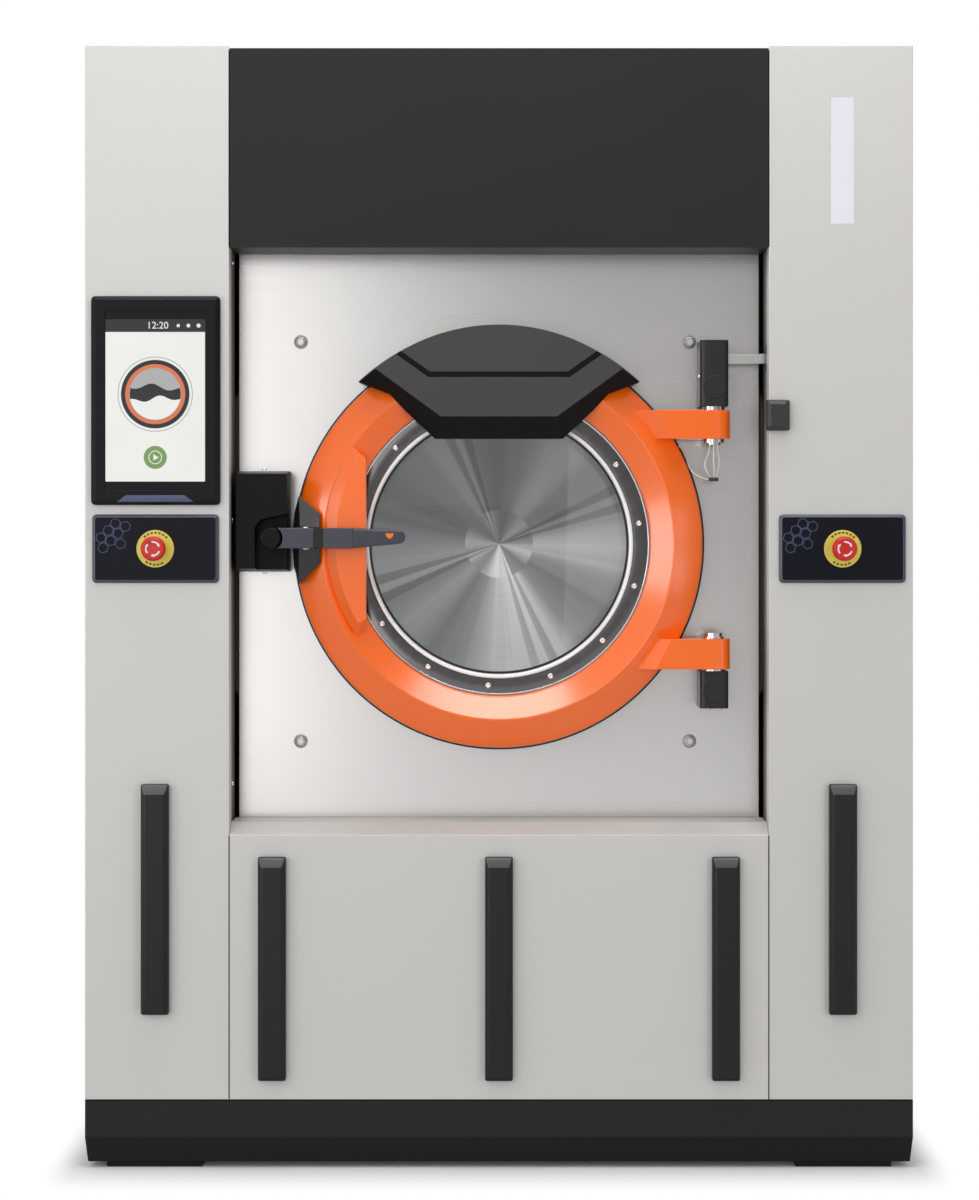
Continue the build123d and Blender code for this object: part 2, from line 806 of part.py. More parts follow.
def tub():
    inner = tub_radius - tub_wall
    shaft_hole = bearing_radius + neck_wall
    profile = [(neck_radius, recess), (neck_radius + neck_wall, recess),
               (neck_radius + neck_wall, tub_front), (tub_radius, tub_front), (tub_radius, tub_rear),
               (shaft_hole, tub_rear), (shaft_hole, tub_rear - tub_wall),
               (inner, tub_rear - tub_wall), (inner, tub_front + tub_wall),
               (neck_radius, tub_front + tub_wall)]
    keep("outer_tub", turned(profile))
    face = recess - gasket_depth
    inner = neck_radius - gasket_inner_step
    outer = neck_radius + gasket_outer_step
    keep("door_gasket", turned([(inner, recess), (inner, face + sheet), (inner + sheet, face),
                                (outer - 2 * sheet, face), (outer, face + 2 * sheet), (outer, recess)]))


def bearing_group():
    """The cast bearing housing with its ribs, two bearings and the shaft seal."""
    bore = shaft_radius + running
    flange_rear = tub_rear + housing_flange
    seal_front = tub_rear
    shelf = bearing_radius - 2 * neck_wall
    front_seat = flange_rear + neck_wall
    rear_seat = housing_rear - bearing_width
    profile = [(seal_radius, seal_front), (housing_flange_radius, seal_front),
               (housing_flange_radius, flange_rear),
               (housing_tail_radius + housing_flange, flange_rear),
               (housing_tail_radius, flange_rear + housing_flange),
               (housing_tail_radius, housing_rear), (bearing_radius, housing_rear),
               (bearing_radius, rear_seat), (shelf, rear_seat), (shelf, front_seat + bearing_width),
               (bearing_radius, front_seat + bearing_width), (bearing_radius, front_seat),
               (seal_radius, front_seat)]
    housing = turned(profile)
    for step in range(housing_rib_count):
        rib = folded_x([(flange_rear, housing_tail_radius), (flange_rear, housing_flange_radius),
                        (rear_seat, housing_tail_radius)], both(housing_rib_thickness / 2))
        turn = Rot(0, step * 360 / housing_rib_count, 0)
        housing += Pos(0, 0, door_z) * turn * rib
    keep("bearing_housing", housing)
    races = [turned([(bore, y), (bearing_radius - fit_gap, y), (bearing_radius - fit_gap, y + bearing_width),
                     (bore, y + bearing_width)]) for y in (front_seat, rear_seat)]
    seal = turned([(bore, seal_front), (seal_radius - fit_gap, seal_front),
                   (seal_radius - fit_gap, seal_front + seal_width),
                   (bore, seal_front + seal_width)])
    keep("bearings_and_seal", *races, seal)


def cradle():
    """The welded frame that carries the tub on saddles and the motor on a plate."""
    z = (cradle_bottom, cradle_bottom + cradle_height)
    frame = [tube_bar(around(s * spring_x, cradle_width), (cradle_front, cradle_rear), z, 1) for s in (-1, 1)]
    gap = both(spring_x - cradle_width / 2)
    frame += [tube_bar(gap, around(s * spring_y, cradle_width), z, 0) for s in (-1, 1)]
    reach = spring_x + cradle_width / 2
    hollow = turned([(0, tub_front), (tub_radius, tub_front), (tub_radius, tub_rear), (0, tub_rear)])
    crown = door_z - sqrt(tub_radius ** 2 - reach ** 2)
    sump_hole = block(both(sump_width / 2 + swing_gap), both(sump_width), (0, door_z))
    for y in (-spring_y, tub_rear - saddle_inset):
        saddle = block(both(reach), around(y, saddle_thickness), (z[1], crown))
        frame.append(saddle - hollow - sump_hole)
    frame.append(block(both(reach), (motor_front, motor_rear), (z[1], z[1] + motor_plate)))
    welded = frame[0]
    for piece in frame[1:]:
        welded += piece
    keep("cradle", welded)


def suspension():
    """Air bellows and dampers between the floor frame and the cradle."""
    low = plinth_top
    high = cradle_bottom
    springs = []
    tubes = []
    rods = []
    lobe = (high - low - 2 * spring_plate) / 2
    belly = (spring_radius + spring_waist) / 2
    bend = lobe / 4
    for sx in (-1, 1):
        for sy in (-1, 1):
            profile = [(0, low), (spring_plate_radius, low), (spring_plate_radius, low + spring_plate)]
            for step in (0, 1):
                base = low + spring_plate + step * lobe
                profile += [(spring_waist, base), (belly, base + bend / 2), (spring_radius, base + bend),
                            (spring_radius, base + lobe - bend), (belly, base + lobe - bend / 2)]
            profile += [(spring_waist, high - spring_plate), (spring_plate_radius, high - spring_plate),
                        (spring_plate_radius, high), (0, high)]
            springs.append(upright(profile, sx * spring_x, sy * spring_y))
            bore = damper_rod_radius + running
            tubes.append(upright([(0, low), (damper_tube_radius, low), (damper_tube_radius, damper_tube_top),
                                  (bore, damper_tube_top), (bore, damper_bore_floor),
                                  (0, damper_bore_floor)], sx * damper_x, sy * spring_y))
            rods.append(round_rod(sx * damper_x, sy * spring_y, (damper_rod_bottom, high),
                                  damper_rod_radius))
    keep("air_springs", *springs)
    keep("damper_tubes", *tubes)
    keep("damper_rods", *rods)


# Drum
def drum():
    inner = drum_radius - drum_wall
    lip = drum_front - drum_wall
    cone = drum_front + 8 * drum_wall
    shell = turned([(drum_radius, cone), (drum_radius, drum_rear), (inner, drum_rear),
                    (inner, cone + drum_wall / 2),
                    (drum_mouth_radius, lip + drum_wall), (drum_mouth_radius, lip)])
    keep("drum_shell", shell)
    edge = inner - fit_gap
    hub_y = drum_rear - drum_back_rise
    wall = drum_back_wall
    back = turned([(0, hub_y - wall), (drum_hub_radius, hub_y - wall), (edge, drum_rear - wall),
                   (edge, drum_rear), (drum_hub_radius, hub_y), (0, hub_y)])
    slope = drum_back_rise / (edge - drum_hub_radius)
    rib_start = drum_hub_radius + rib_width
    rib_end = edge - lifter_height / 2
    for step in range(rib_count):
        turn = Rot(0, -rib_angle - step * 360 / rib_count, 0)
        for offset in both(rib_spacing / 2):
            low = hub_y - wall + (rib_start - drum_hub_radius) * slope
            high = hub_y - wall + (rib_end - drum_hub_radius) * slope
            rib = make_face(Polyline((rib_start, low + wall / 2, offset - rib_width / 2),
                                     (rib_start, low - rib_height, offset - rib_width / 2),
                                     (rib_end, high - rib_height, offset - rib_width / 2),
                                     (rib_end, high + wall / 2, offset - rib_width / 2), close=True))
            back += Pos(0, 0, door_z) * turn * extrude(rib, amount=rib_width, dir=(0, 0, 1))
    keep("drum_back", back)
    barrel = turned([(0, tub_front), (edge, tub_front), (edge, tub_rear), (0, tub_rear)])
    lifters = []
    lifter_y = (cone + 2 * drum_wall, drum_rear - drum_back_rise - 2 * rib_height)
    for step in range(lifter_count):
        section = [(-lifter_base / 2, -inner - drum_wall), (lifter_base / 2, -inner - drum_wall),
                   (lifter_crown / 2, lifter_height - inner), (-lifter_crown / 2, lifter_height - inner)]
        cavity = [(x - lifter_cavity_step * (1 if x > 0 else -1), z - lifter_wall) for x, z in section]
        length = lifter_y[1] - lifter_y[0]
        face = make_face(Polyline(*[(x, lifter_y[0], z) for x, z in section], close=True))
        hollow = make_face(Polyline(*[(x, lifter_y[0] + lifter_wall, z) for x, z in cavity], close=True))
        turn = Pos(0, 0, door_z) * Rot(0, step * 360 / lifter_count, 0)
        pressed = along_y(face, length) - along_y(hollow, length - 2 * lifter_wall)
        lifters.append(turn * pressed & barrel)
    keep("drum_lifters", *lifters)


def drum_shaft():
    """The shaft, stepped for the pulley, with the three-arm spider that carries the drum's back."""
    hub_front = drum_rear - drum_back_rise
    arm_rear = drum_rear + spider_arm_depth
    tail = pulley_front + pulley_width + motor_plate
    shaft = turned([(0, hub_front), (drum_hub_radius, hub_front), (drum_hub_radius, arm_rear),
                    (shaft_radius, arm_rear + neck_wall / 2), (shaft_radius, housing_rear + neck_wall),
                    (shaft_tail_radius, housing_rear + neck_wall), (shaft_tail_radius, tail), (0, tail)])
    for step in range(lifter_count):
        arm = block(both(spider_arm_width / 2), (drum_rear, arm_rear),
                    (0, drum_radius - drum_wall - spider_arm_depth))
        shaft += Pos(0, 0, door_z) * Rot(0, step * 360 / lifter_count + 180, 0) * arm
    keep("drum_shaft", shaft)


# Drive
def groove_places():
    pitch = pulley_width / belt_count
    return [pulley_front + pitch / 2 + pitch * step for step in range(belt_count)]


def grooved_rim(radius):
    """The outline of a pulley's rim with one V groove for each belt, as (radius, y) points."""
    points = [(radius, pulley_front)]
    half_bottom = belt_width / 2 + seat_gap
    half_top = half_bottom + belt_sink / 3
    for y in groove_places():
        points += [(radius, y - half_top), (radius - belt_sink, y - half_bottom),
                   (radius - belt_sink, y + half_bottom), (radius, y + half_top)]
    return points + [(radius, pulley_front + pulley_width)]


def pulleys():
    rear_face = pulley_front + pulley_width
    web = around(pulley_front + pulley_width / 2, pulley_web)
    rim = pulley_radius - pulley_rim
    hub = shaft_tail_radius + pulley_rim
    bore = shaft_tail_radius + fit_gap / 5
    profile = grooved_rim(pulley_radius) + [(rim, rear_face), (rim, web[1]), (hub, web[1]), (hub, rear_face),
                                            (bore, rear_face), (bore, pulley_front), (hub, pulley_front),
                                            (hub, web[0]), (rim, web[0]), (rim, pulley_front)]
    wheel = turned(profile)
    hole_circle = (rim + hub) / 2
    hole_radius = (rim - hub) / 4
    for step in range(housing_rib_count):
        angle = radians(step * 360 / housing_rib_count)
        wheel -= round_rod(hole_circle * sin(angle), (pulley_front, rear_face),
                           door_z + hole_circle * cos(angle), hole_radius)
    keep("drum_pulley", wheel)


def motor():
    """A finned foot-mounted motor with its terminal box, and the rotor with its pulley."""
    z = cradle_bottom + cradle_height + motor_plate + motor_axis_height
    shield = 2 * motor_fin
    bore = motor_shaft_radius + running
    body = turned([(0, motor_front), (motor_radius, motor_front), (motor_radius, motor_rear - shield),
                   (motor_radius / 2, motor_rear), (bore, motor_rear), (bore, motor_front + shield),
                   (0, motor_front + shield)], 0, z)
    for step in range(motor_fin_count):
        fin = block(both(motor_fin / 4), (motor_front + shield, motor_rear - 2 * shield),
                    (motor_radius - motor_fin / 2, motor_radius + motor_fin))
        body += Pos(0, 0, z) * Rot(0, (step + 0.5) * 360 / motor_fin_count, 0) * fin
    foot_y = (motor_front + shield, motor_rear - 2 * shield)
    feet = block(both(motor_radius), foot_y, (z - motor_axis_height, z - motor_axis_height + motor_fin))
    webs = [block(around(s * motor_web_x, motor_fin), foot_y, (z - motor_axis_height, z)) for s in (-1, 1)]
    box = block(span(motor_radius - motor_fin, 5 * motor_fin),
                around((motor_front + motor_rear) / 2, 8 * motor_fin),
                around(z, 8 * motor_fin))
    core = round_rod(0, (motor_front + shield, motor_rear + overrun), z, bore)
    keep("motor_housing", (body + feet + webs[0] + webs[1] + box) - core)
    tail = pulley_front + pulley_width
    outline = [(0, motor_front + shield + seat_gap), (motor_shaft_radius, motor_front + shield + seat_gap),
               (motor_shaft_radius, pulley_front)] + grooved_rim(motor_pulley_radius) + [(0, tail)]
    keep("motor_rotor", turned(outline, 0, z))
    return z


def belts(motor_z):
    """V-belts: each a closed loop round both pulleys, worked out from their radii and distance."""
    distance = door_z - motor_z
    loops = []
    depth = belt_sink - seat_gap
    lean = -(pulley_radius - motor_pulley_radius) / distance
    normal = (sqrt(1 - lean ** 2), lean)

    def outline(lift, y):
        big = pulley_radius - depth + lift
        small = motor_pulley_radius - depth + lift
        upper = (normal[0] * big, door_z + normal[1] * big)
        lower = (normal[0] * small, motor_z + normal[1] * small)
        edges = [ThreePointArc((upper[0], y, upper[1]), (0, y, door_z + big), (-upper[0], y, upper[1])),
                 Line((-upper[0], y, upper[1]), (-lower[0], y, lower[1])),
                 ThreePointArc((-lower[0], y, lower[1]), (0, y, motor_z - small), (lower[0], y, lower[1])),
                 Line((lower[0], y, lower[1]), (upper[0], y, upper[1]))]
        return make_face(edges)

    for middle in groove_places():
        y = middle - belt_width / 2
        loops.append(along_y(outline(belt_height, y), belt_width) - along_y(outline(0, y), belt_width))
    keep("drive_belts", *loops)


# Door
def door_envelope():
    """Everything behind the door ring's front faces; what sits on the ring is trimmed by it."""
    lift = fit_gap
    return turned([(0, ring_inner_y - lift), (ring_inner_radius, ring_inner_y - lift),
                   (ring_crest_radius, ring_crest_y - lift), (ring_radius + lift, ring_edge_y - lift),
                   (ring_radius + lift, recess), (0, recess)])


def door_disc():
    """The black backing rim, orange ring, retainer, screws, bezel and dished glass."""
    lip = glass_radius - 3 * sheet / 2
    glass_rear = rim_front + glass_thickness / 2
    glass_front = rim_front - glass_thickness / 2
    keep("door_rim", turned([(lip, door_back), (rim_radius - rim_chamfer, door_back),
                             (rim_radius, door_back - rim_chamfer), (rim_radius, rim_front),
                             (bezel_radius + sheet, rim_front), (bezel_radius + sheet, glass_rear),
                             (lip, glass_rear)]))
    wall = ring_wall
    ring = turned([(ring_radius, rim_front), (ring_radius, ring_edge_y), (ring_crest_radius, ring_crest_y),
                   (ring_inner_radius, ring_inner_y), (ring_inner_radius, rim_front),
                   (ring_inner_radius + wall, rim_front), (ring_inner_radius + wall, ring_inner_y + wall),
                   (ring_crest_radius, ring_crest_y + wall + wall / 4),
                   (ring_radius - wall, ring_edge_y + wall / 2),
                   (ring_radius - wall, rim_front)])
    keep("door_ring", ring)
    retainer = turned([(bezel_radius, rim_front), (bezel_radius, retainer_y + sheet),
                       (bezel_radius + sheet, retainer_y), (ring_inner_radius - fit_gap, retainer_y),
                       (ring_inner_radius - fit_gap, rim_front)])
    bezel = turned([(glass_radius, glass_front), (glass_radius, retainer_y - sheet),
                    (glass_radius + sheet, retainer_y - 2 * sheet),
                    (bezel_radius - fit_gap, retainer_y - 2 * sheet),
                    (bezel_radius - fit_gap, glass_front)])
    keep("door_retainer", retainer, bezel)
    screws = []
    r = retainer_screw_radius
    circle = ring_inner_radius - retainer_screw_inset
    for step in range(retainer_screw_count):
        angle = radians(retainer_screw_phase + step * 360 / retainer_screw_count)
        x = circle * cos(angle)
        z = door_z + circle * sin(angle)
        screws.append(turned([(0, retainer_y - r), (retainer_screw_crown, retainer_y - r),
                              (r, retainer_y - r / 2), (r, retainer_y), (0, retainer_y)], x, z))
    keep("retainer_screws", *screws)
    keep("door_glass", glass_dish(glass_front, glass_rear))


def glass_dish(front_y, rear_y):
    """A round pane pressed inwards: a flat flange and a shallow spherical dish of one thickness."""
    sphere = (glass_dome_radius ** 2 + glass_dome_depth ** 2) / (2 * glass_dome_depth)
    middle = glass_dome_radius / 2
    sag = sqrt(sphere ** 2 - middle ** 2) - (sphere - glass_dome_depth)
    edge = bezel_radius - sheet / 2
    pane = [ThreePointArc((0, front_y + glass_dome_depth), (middle, front_y + sag),
                          (glass_dome_radius, front_y)),
            Line((glass_dome_radius, front_y), (edge, front_y)),
            Line((edge, front_y), (edge, rear_y)),
            Line((edge, rear_y), (glass_dome_radius, rear_y)),
            ThreePointArc((glass_dome_radius, rear_y), (middle, rear_y + sag),
                          (0, rear_y + glass_dome_depth)),
            Line((0, rear_y + glass_dome_depth), (0, front_y + glass_dome_depth))]
    return Pos(0, 0, door_z) * revolve(make_face(pane), Axis.Y)


def cap_outline(tip, inner_points, y):
    """The cap's outline: a line through the inner points, mirrored, closed by an arc over the top."""
    right = [on_door(shares) for shares in [tip] + inner_points]
    left = [(-x, z) for x, z in reversed(right)]
    line = [(x, y, door_z + z) for x, z in right + left]
    top = (0, y, door_z + (cap_arc_rise_share + cap_arc_share) * ring_radius)
    edges = Polyline(*line).edges() + [ThreePointArc(line[-1], top, line[0])]
    return make_face(edges)


def on_door(shares):
    """A point in the door's plane, from its shares of the ring's radius."""
    return tuple(share * ring_radius for share in shares)


def mixed(a, b, share):
    return tuple(p + (q - p) * share for p, q in zip(a, b))


def door_cap():
    """The black cap over the top of the ring: a wide bevelled skirt round a flat face with a groove."""
    base = [cap_shoulder_shares, cap_notch_shares, cap_foot_shares]
    tip, foot = cap_face_tip_shares, cap_face_foot_shares
    face = [mixed(tip, foot, share) for share in cap_skirt_shares] + [foot]
    cap_face_y = recess - cap_face_out
    cap_skirt_y = recess - cap_skirt_out
    back = rim_front - sheet
    skirt = cap_outline(cap_tip_shares, base, cap_skirt_y)
    lower = along_y(skirt, back - cap_skirt_y)
    upper = loft([cap_outline(tip, face, cap_face_y), skirt], ruled=True)
    cap = lower + upper - door_envelope()
    end = on_door(cap_groove_end_shares)
    corner = on_door(cap_groove_corner_shares)
    corners = [(-end[0], end[1]), (-corner[0], corner[1]), corner, end]
    line = Polyline(*[(x, cap_face_y, door_z + z) for x, z in corners])
    for edge in line.edges():
        a = edge.position_at(0)
        b = edge.position_at(1)
        middle = (a + b) / 2
        turn = Rot(0, -Vector(1, 0, 0).get_signed_angle(b - a, Vector(0, -1, 0)), 0)
        strip = Box(edge.length + cap_groove_width / 2, 2 * cap_groove_depth, cap_groove_width)
        cap -= Pos(middle.X, cap_face_y, middle.Z) * turn * strip
    keep("door_cap", cap)


def pull_plate():
    """The raised orange plate to pull the door by: a curved outer slope and a straight inner edge."""
    back = rim_front
    mid = ring_crest_y

    def outline(arc, edge, y):
        corners = list(arc) + [(pull_edge_share, edge[1]), (pull_edge_share, edge[0])]
        points = [(x, y, door_z + z) for x, z in map(on_door, corners)]
        edges = [ThreePointArc(points[0], points[1], points[2]), Line(points[2], points[3]),
                 Line(points[3], points[4]), Line(points[4], points[0])]
        return make_face(edges)

    base = outline(pull_base_shares, pull_base_edge_shares, mid)
    face = outline(pull_face_shares, pull_face_edge_shares, recess - pull_face_out)
    solid = along_y(base, back - mid) + loft([face, base], ruled=True)
    keep("pull_plate", solid - door_envelope())


def latch_bracket():
    """The black bracket wrapped over the ring's edge, its lug and the lever's pin."""
    corners = map(on_door, bracket_corner_shares)
    start, second, third, end = [(x, rim_front - seat_gap, door_z + z) for x, z in corners]
    edges = Polyline(start, second, third, end).edges()
    edges += [ThreePointArc(end, (-rim_radius, rim_front - seat_gap, door_z), start)]
    body = extrude(make_face(edges), amount=rim_front - bracket_face_y - seat_gap, dir=(0, -1, 0))
    body = chamfer(body.faces().sort_by(Axis.Y)[0].edges().filter_by(GeomType.CIRCLE), bracket_chamfer)
    body -= door_envelope()
    lug_z = around(latch_height, lug_height)
    lug = block(around(latch_pivot_x, 2 * lug_radius), (latch_pivot_y, bracket_face_y + sheet), lug_z)
    lug += round_rod(latch_pivot_x, latch_pivot_y, lug_z, lug_radius)
    hole = round_rod(latch_pivot_x, latch_pivot_y, lug_z, latch_pin_radius + fit_gap / 5)
    reach = lever_height / 2 + seat_gap
    head = reach + latch_pin_head_height
    outline = [(0, -head), (latch_pin_head, -head), (latch_pin_head, -reach), (latch_pin_radius, -reach),
               (latch_pin_radius, reach), (latch_pin_head, reach), (latch_pin_head, head), (0, head)]
    pin = upright([(radius, latch_height + z) for radius, z in outline], latch_pivot_x, latch_pivot_y)
    keep("latch_bracket", body + lug - hole, pin)


def latch_lever():
    """The lever forks round the lug, is cut round the lock's boss and waisted beside the pivot."""
    z = around(latch_height, lever_height)
    y = (latch_pivot_y - lever_front, latch_pivot_y + lever_back)
    left = latch_pivot_x - lever_left
    right = latch_pivot_x + lever_right
    body = block((left, right), y, z)
    body = chamfer(body.edges().filter_by(Axis.X), lever_neck_inset)
    body -= round_rod(boss_x, (y[0] - overrun, y[1] + overrun), latch_height, boss_radius + boss_gap)
    slot_z = around(latch_height, lug_height + 2 * seat_gap)
    swing = radians(lever_swing)
    nose = lug_radius + seat_gap
    sweep = nose / cos(swing) + lever_back * tan(swing)
    body -= block((latch_pivot_x - sweep, latch_pivot_x + nose), (latch_pivot_y - nose, y[1] + overrun),
                  slot_z)
    body -= round_rod(latch_pivot_x, latch_pivot_y, (z[0] - overrun, z[1] + overrun),
                      latch_pin_radius + running)
    neck = latch_pivot_x + lever_neck_start
    zone = block(span(neck, lever_neck_length), (y[0] - overrun, y[1] + overrun),
                 (z[0] - overrun, z[1] + overrun))
    core = block(span(neck, lever_neck_length), (y[0] + lever_neck_inset, y[1] - lever_neck_inset),
                 (z[0] + lever_neck_inset, z[1] - lever_neck_inset))
    keep("latch_lever", body - (zone - core))
    middle = latch_pivot_y + (lever_back - lever_front) / 2
    tip_z = around(latch_height + grip_tip_rise, grip_tip_height)
    tip_y = around(middle, grip_tip_depth)
    grip = loft([section_x(right, y, z), section_x(right + grip_length, tip_y, tip_z)], ruled=True)
    keep("lever_grip", fillet(grip.faces().sort_by(Axis.X)[-1].edges(), grip_tip_round))


def section_x(x, y, z):
    """A flat rectangle across X, from (low, high) pairs."""
    corners = [(x, y[0], z[0]), (x, y[1], z[0]), (x, y[1], z[1]), (x, y[0], z[1])]
    return make_face(Polyline(*corners, close=True))


def lock_box():
    """The door lock: a tapered box on the plate, with a sunk corner for the lever and a round boss."""
    lock_left = lock_edge_gap - column_inner
    lock_right = -ring_radius - lock_ring_gap
    lock_recess_x = boss_x - lock_recess_step
    lock_face_y = recess - lock_face_out
    lock_recess_y = recess - lock_recess_out
    boss_face_y = recess - boss_face_out

    def outline(inset, y):
        points = [(lock_left + inset, lock_bottom + inset), (lock_right, lock_bottom + inset),
                  (lock_right, lock_top - inset), (lock_left + inset, lock_top - inset)]
        return front_face(points, y)

    shell = loft([outline(0, recess), outline(lock_draft, lock_face_y)], ruled=True)
    over = overrun
    sunk = [(lock_recess_x, lock_bottom - over), (lock_recess_x, latch_z + boss_radius),
            (lock_recess_x + lock_corner[0], latch_z + lock_corner[1]),
            (lock_right + over, latch_z + lock_slope_rise), (lock_right + over, lock_bottom - over)]
    cut = along_y(front_face(sunk, lock_face_y - over), lock_recess_y - lock_face_y + over)
    boss = turned([(0, boss_face_y), (boss_radius - sheet, boss_face_y), (boss_radius, boss_face_y + sheet),
                   (boss_radius, lock_recess_y), (0, lock_recess_y)], boss_x, latch_height)
    keep("lock_box", shell - cut, boss)


# Hinges
def hinge_blocks():
    blocks = []
    block_face_y = recess - block_face_out
    for low, high in (upper_block, lower_block):
        x = around(hinge_x, block_width)
        body = block(x, (block_face_y, recess), (door_z + low, door_z + high))
        body = fillet(body.faces().sort_by(Axis.Y)[0].edges().filter_by(Axis.Z), block_width / 5)
        disc_z = door_z + (low + upper_disc_rise if low > 0 else (low + high) / 2)
        body += round_rod(hinge_x, (block_face_y - block_disc_height, block_face_y), disc_z,
                          block_disc_radius)
        seat = low if low > 0 else high - block_width / 2
        hole = span(door_z + seat, block_width / 2)
        blocks.append(body - round_rod(hinge_x, hinge_y, hole, hinge_pin_radius + fit_gap / 5))
    keep("hinge_blocks", *blocks)


def washer(low, high, radius):
    bore = hinge_pin_radius + fit_gap / 5
    return upright([(bore, door_z + low), (radius, door_z + low), (radius, door_z + high),
                    (bore, door_z + high)], hinge_x, hinge_y)


def hinge_pins():
    """A headed pin and its washers for each hinge; the knuckles turn on the pins."""
    upper_end = upper_arm[0] - seat_gap - washer_thickness
    upper_pin = upright([(0, door_z + upper_end - pin_head_height),
                         (pin_head_radius, door_z + upper_end - pin_head_height),
                         (pin_head_radius, door_z + upper_end), (hinge_pin_radius, door_z + upper_end),
                         (hinge_pin_radius, door_z + upper_block[0] + block_width / 2),
                         (0, door_z + upper_block[0] + block_width / 2)], hinge_x, hinge_y)
    lower_end = lower_arm[1] + seat_gap + thin_washer
    lower_pin = upright([(0, door_z + lower_block[1] - block_width / 2),
                         (hinge_pin_radius, door_z + lower_block[1] - block_width / 2),
                         (hinge_pin_radius, door_z + lower_end), (bush_radius, door_z + lower_end),
                         (bush_radius, door_z + lower_end + bush_height),
                         (0, door_z + lower_end + bush_height)],
                        hinge_x, hinge_y)
    rings = [washer(upper_arm[1] + seat_gap, upper_block[0], washer_radius),
             washer(upper_end, upper_arm[0] - seat_gap, washer_radius - sheet / 2),
             washer(lower_block[1], lower_arm[0] - seat_gap, washer_radius),
             washer(lower_arm[1] + seat_gap, lower_end, washer_radius - sheet / 2)]
    keep("hinge_pins", upper_pin, lower_pin, *rings)


def hinge_arm(low, high, outer_is_high):
    """One arm: a knuckle on the pin and a plate that slopes down on to the ring."""
    face = hinge_y - arm_front
    back = hinge_y + arm_front
    reaches = [on_door(arm_reach_shares), on_door(arm_tip_shares)]
    ends = reaches if outer_is_high else reversed(reaches)
    sections = []
    for z, (plate_x, slope_x) in zip((low, high), ends):
        points = [(hinge_x, face), (plate_x, face), (slope_x, ring_inner_y), (slope_x, back),
                  (hinge_x, back)]
        sections.append(make_face(Polyline(*[(x, y, door_z + z) for x, y in points], close=True)))
    arm = loft(sections, ruled=True) - door_envelope()
    arm = arm.solids().sort_by(Axis.X)[-1]
    arm += round_rod(hinge_x, hinge_y, (door_z + low, door_z + high), arm_front)
    return arm - round_rod(hinge_x, hinge_y, (door_z + low - overrun, door_z + high + overrun),
                           hinge_pin_radius + running)


def hinges():
    hinge_blocks()
    hinge_pins()
    keep("hinge_arms", hinge_arm(*upper_arm, True), hinge_arm(*lower_arm, False))


# Conduit and wires
def conduit():
    start = hinge_x + block_width / 2
    keep("sensor_conduit", block((start, column_inner + conduit_overlap), around(conduit_y, conduit_depth),
                                 around(door_z + conduit_z, conduit_height)))


def wire(points, name):
    """A thin round wire along hand-chosen points, with each bend as large as its runs allow."""
    corners = [Vector(*p) for p in points]
    radii = []
    for before, corner, after in zip(corners, corners[1:], corners[2:]):
        turn = radians((corner - before).get_angle(after - corner))
        run = min((corner - before).length, (after - corner).length)
        radii.append(bend_share * run / tan(turn / 2))
    path = FilletPolyline(*points, radius=radii)
    section = Plane(origin=path @ 0, z_dir=path % 0) * Circle(wire_diameter / 2)
    tube = sweep(section, path=path)
    print("wire", name, "length", round(path.length, 1), "bend radii", [round(r, 1) for r in radii],
          "volume over section times length",
          round(tube.volume / (pi * wire_diameter ** 2 / 4 * path.length), 4))
    return tube


def hinge_wires():
    """Three wires out of the hinge pin, tied together, and a lead from the tie to the ring."""
    top = door_z + upper_arm[0] - washer_thickness - pin_head_height - 3 * seat_gap
    tie_top = door_z + tie_z + tie_height / 2
    wires = []
    for name, offsets in (("left", left_wire), ("middle", middle_wire), ("right", right_wire)):
        points = [(hinge_x + x, hinge_y + y, top + z) for x, y, z in offsets[:-1]]
        foot_x, foot_y = offsets[-1]
        wires.append(wire(points + [(hinge_x + foot_x, hinge_y + foot_y, tie_top)], name))
    tie = block(around(hinge_x, tie_width), around(hinge_y, tie_depth), (tie_top - tie_height, tie_top))
    ring_edge = sqrt(ring_radius ** 2 - lead_end_z ** 2)
    rise = [(hinge_x + x, hinge_y + y, tie_top + z) for x, y, z in (lead_start,) + lead_rise]
    finish = [(ring_edge + x, hinge_y + y, door_z + lead_end_z + z) for x, y, z in (lead_turn, lead_end)]
    keep("hinge_wires", *wires, tie, wire(rise + finish, "lead"))


floor_frame()
plinth()
upper_frame()
columns()
recess_cheeks()
header()
lower_panel()
skins()
control_panel()
stop_controls()
status_lamp()
bumpers()
services()
valve_sump()
tub_plate()
tub()
bearing_group()
cradle()
suspension()
drum()
drum_shaft()
pulleys()
motor_z = motor()
belts(motor_z)
door_disc()
door_cap()
pull_plate()
latch_bracket()
latch_lever()
lock_box()
hinges()
conduit()
hinge_wires()

for name, solids in parts.items():
    export_step(Compound(label=name, children=solids), "parts/" + name + ".step")
print(len(parts), "nodes,", sum(len(solids) for solids in parts.values()), "solids")
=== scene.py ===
import math

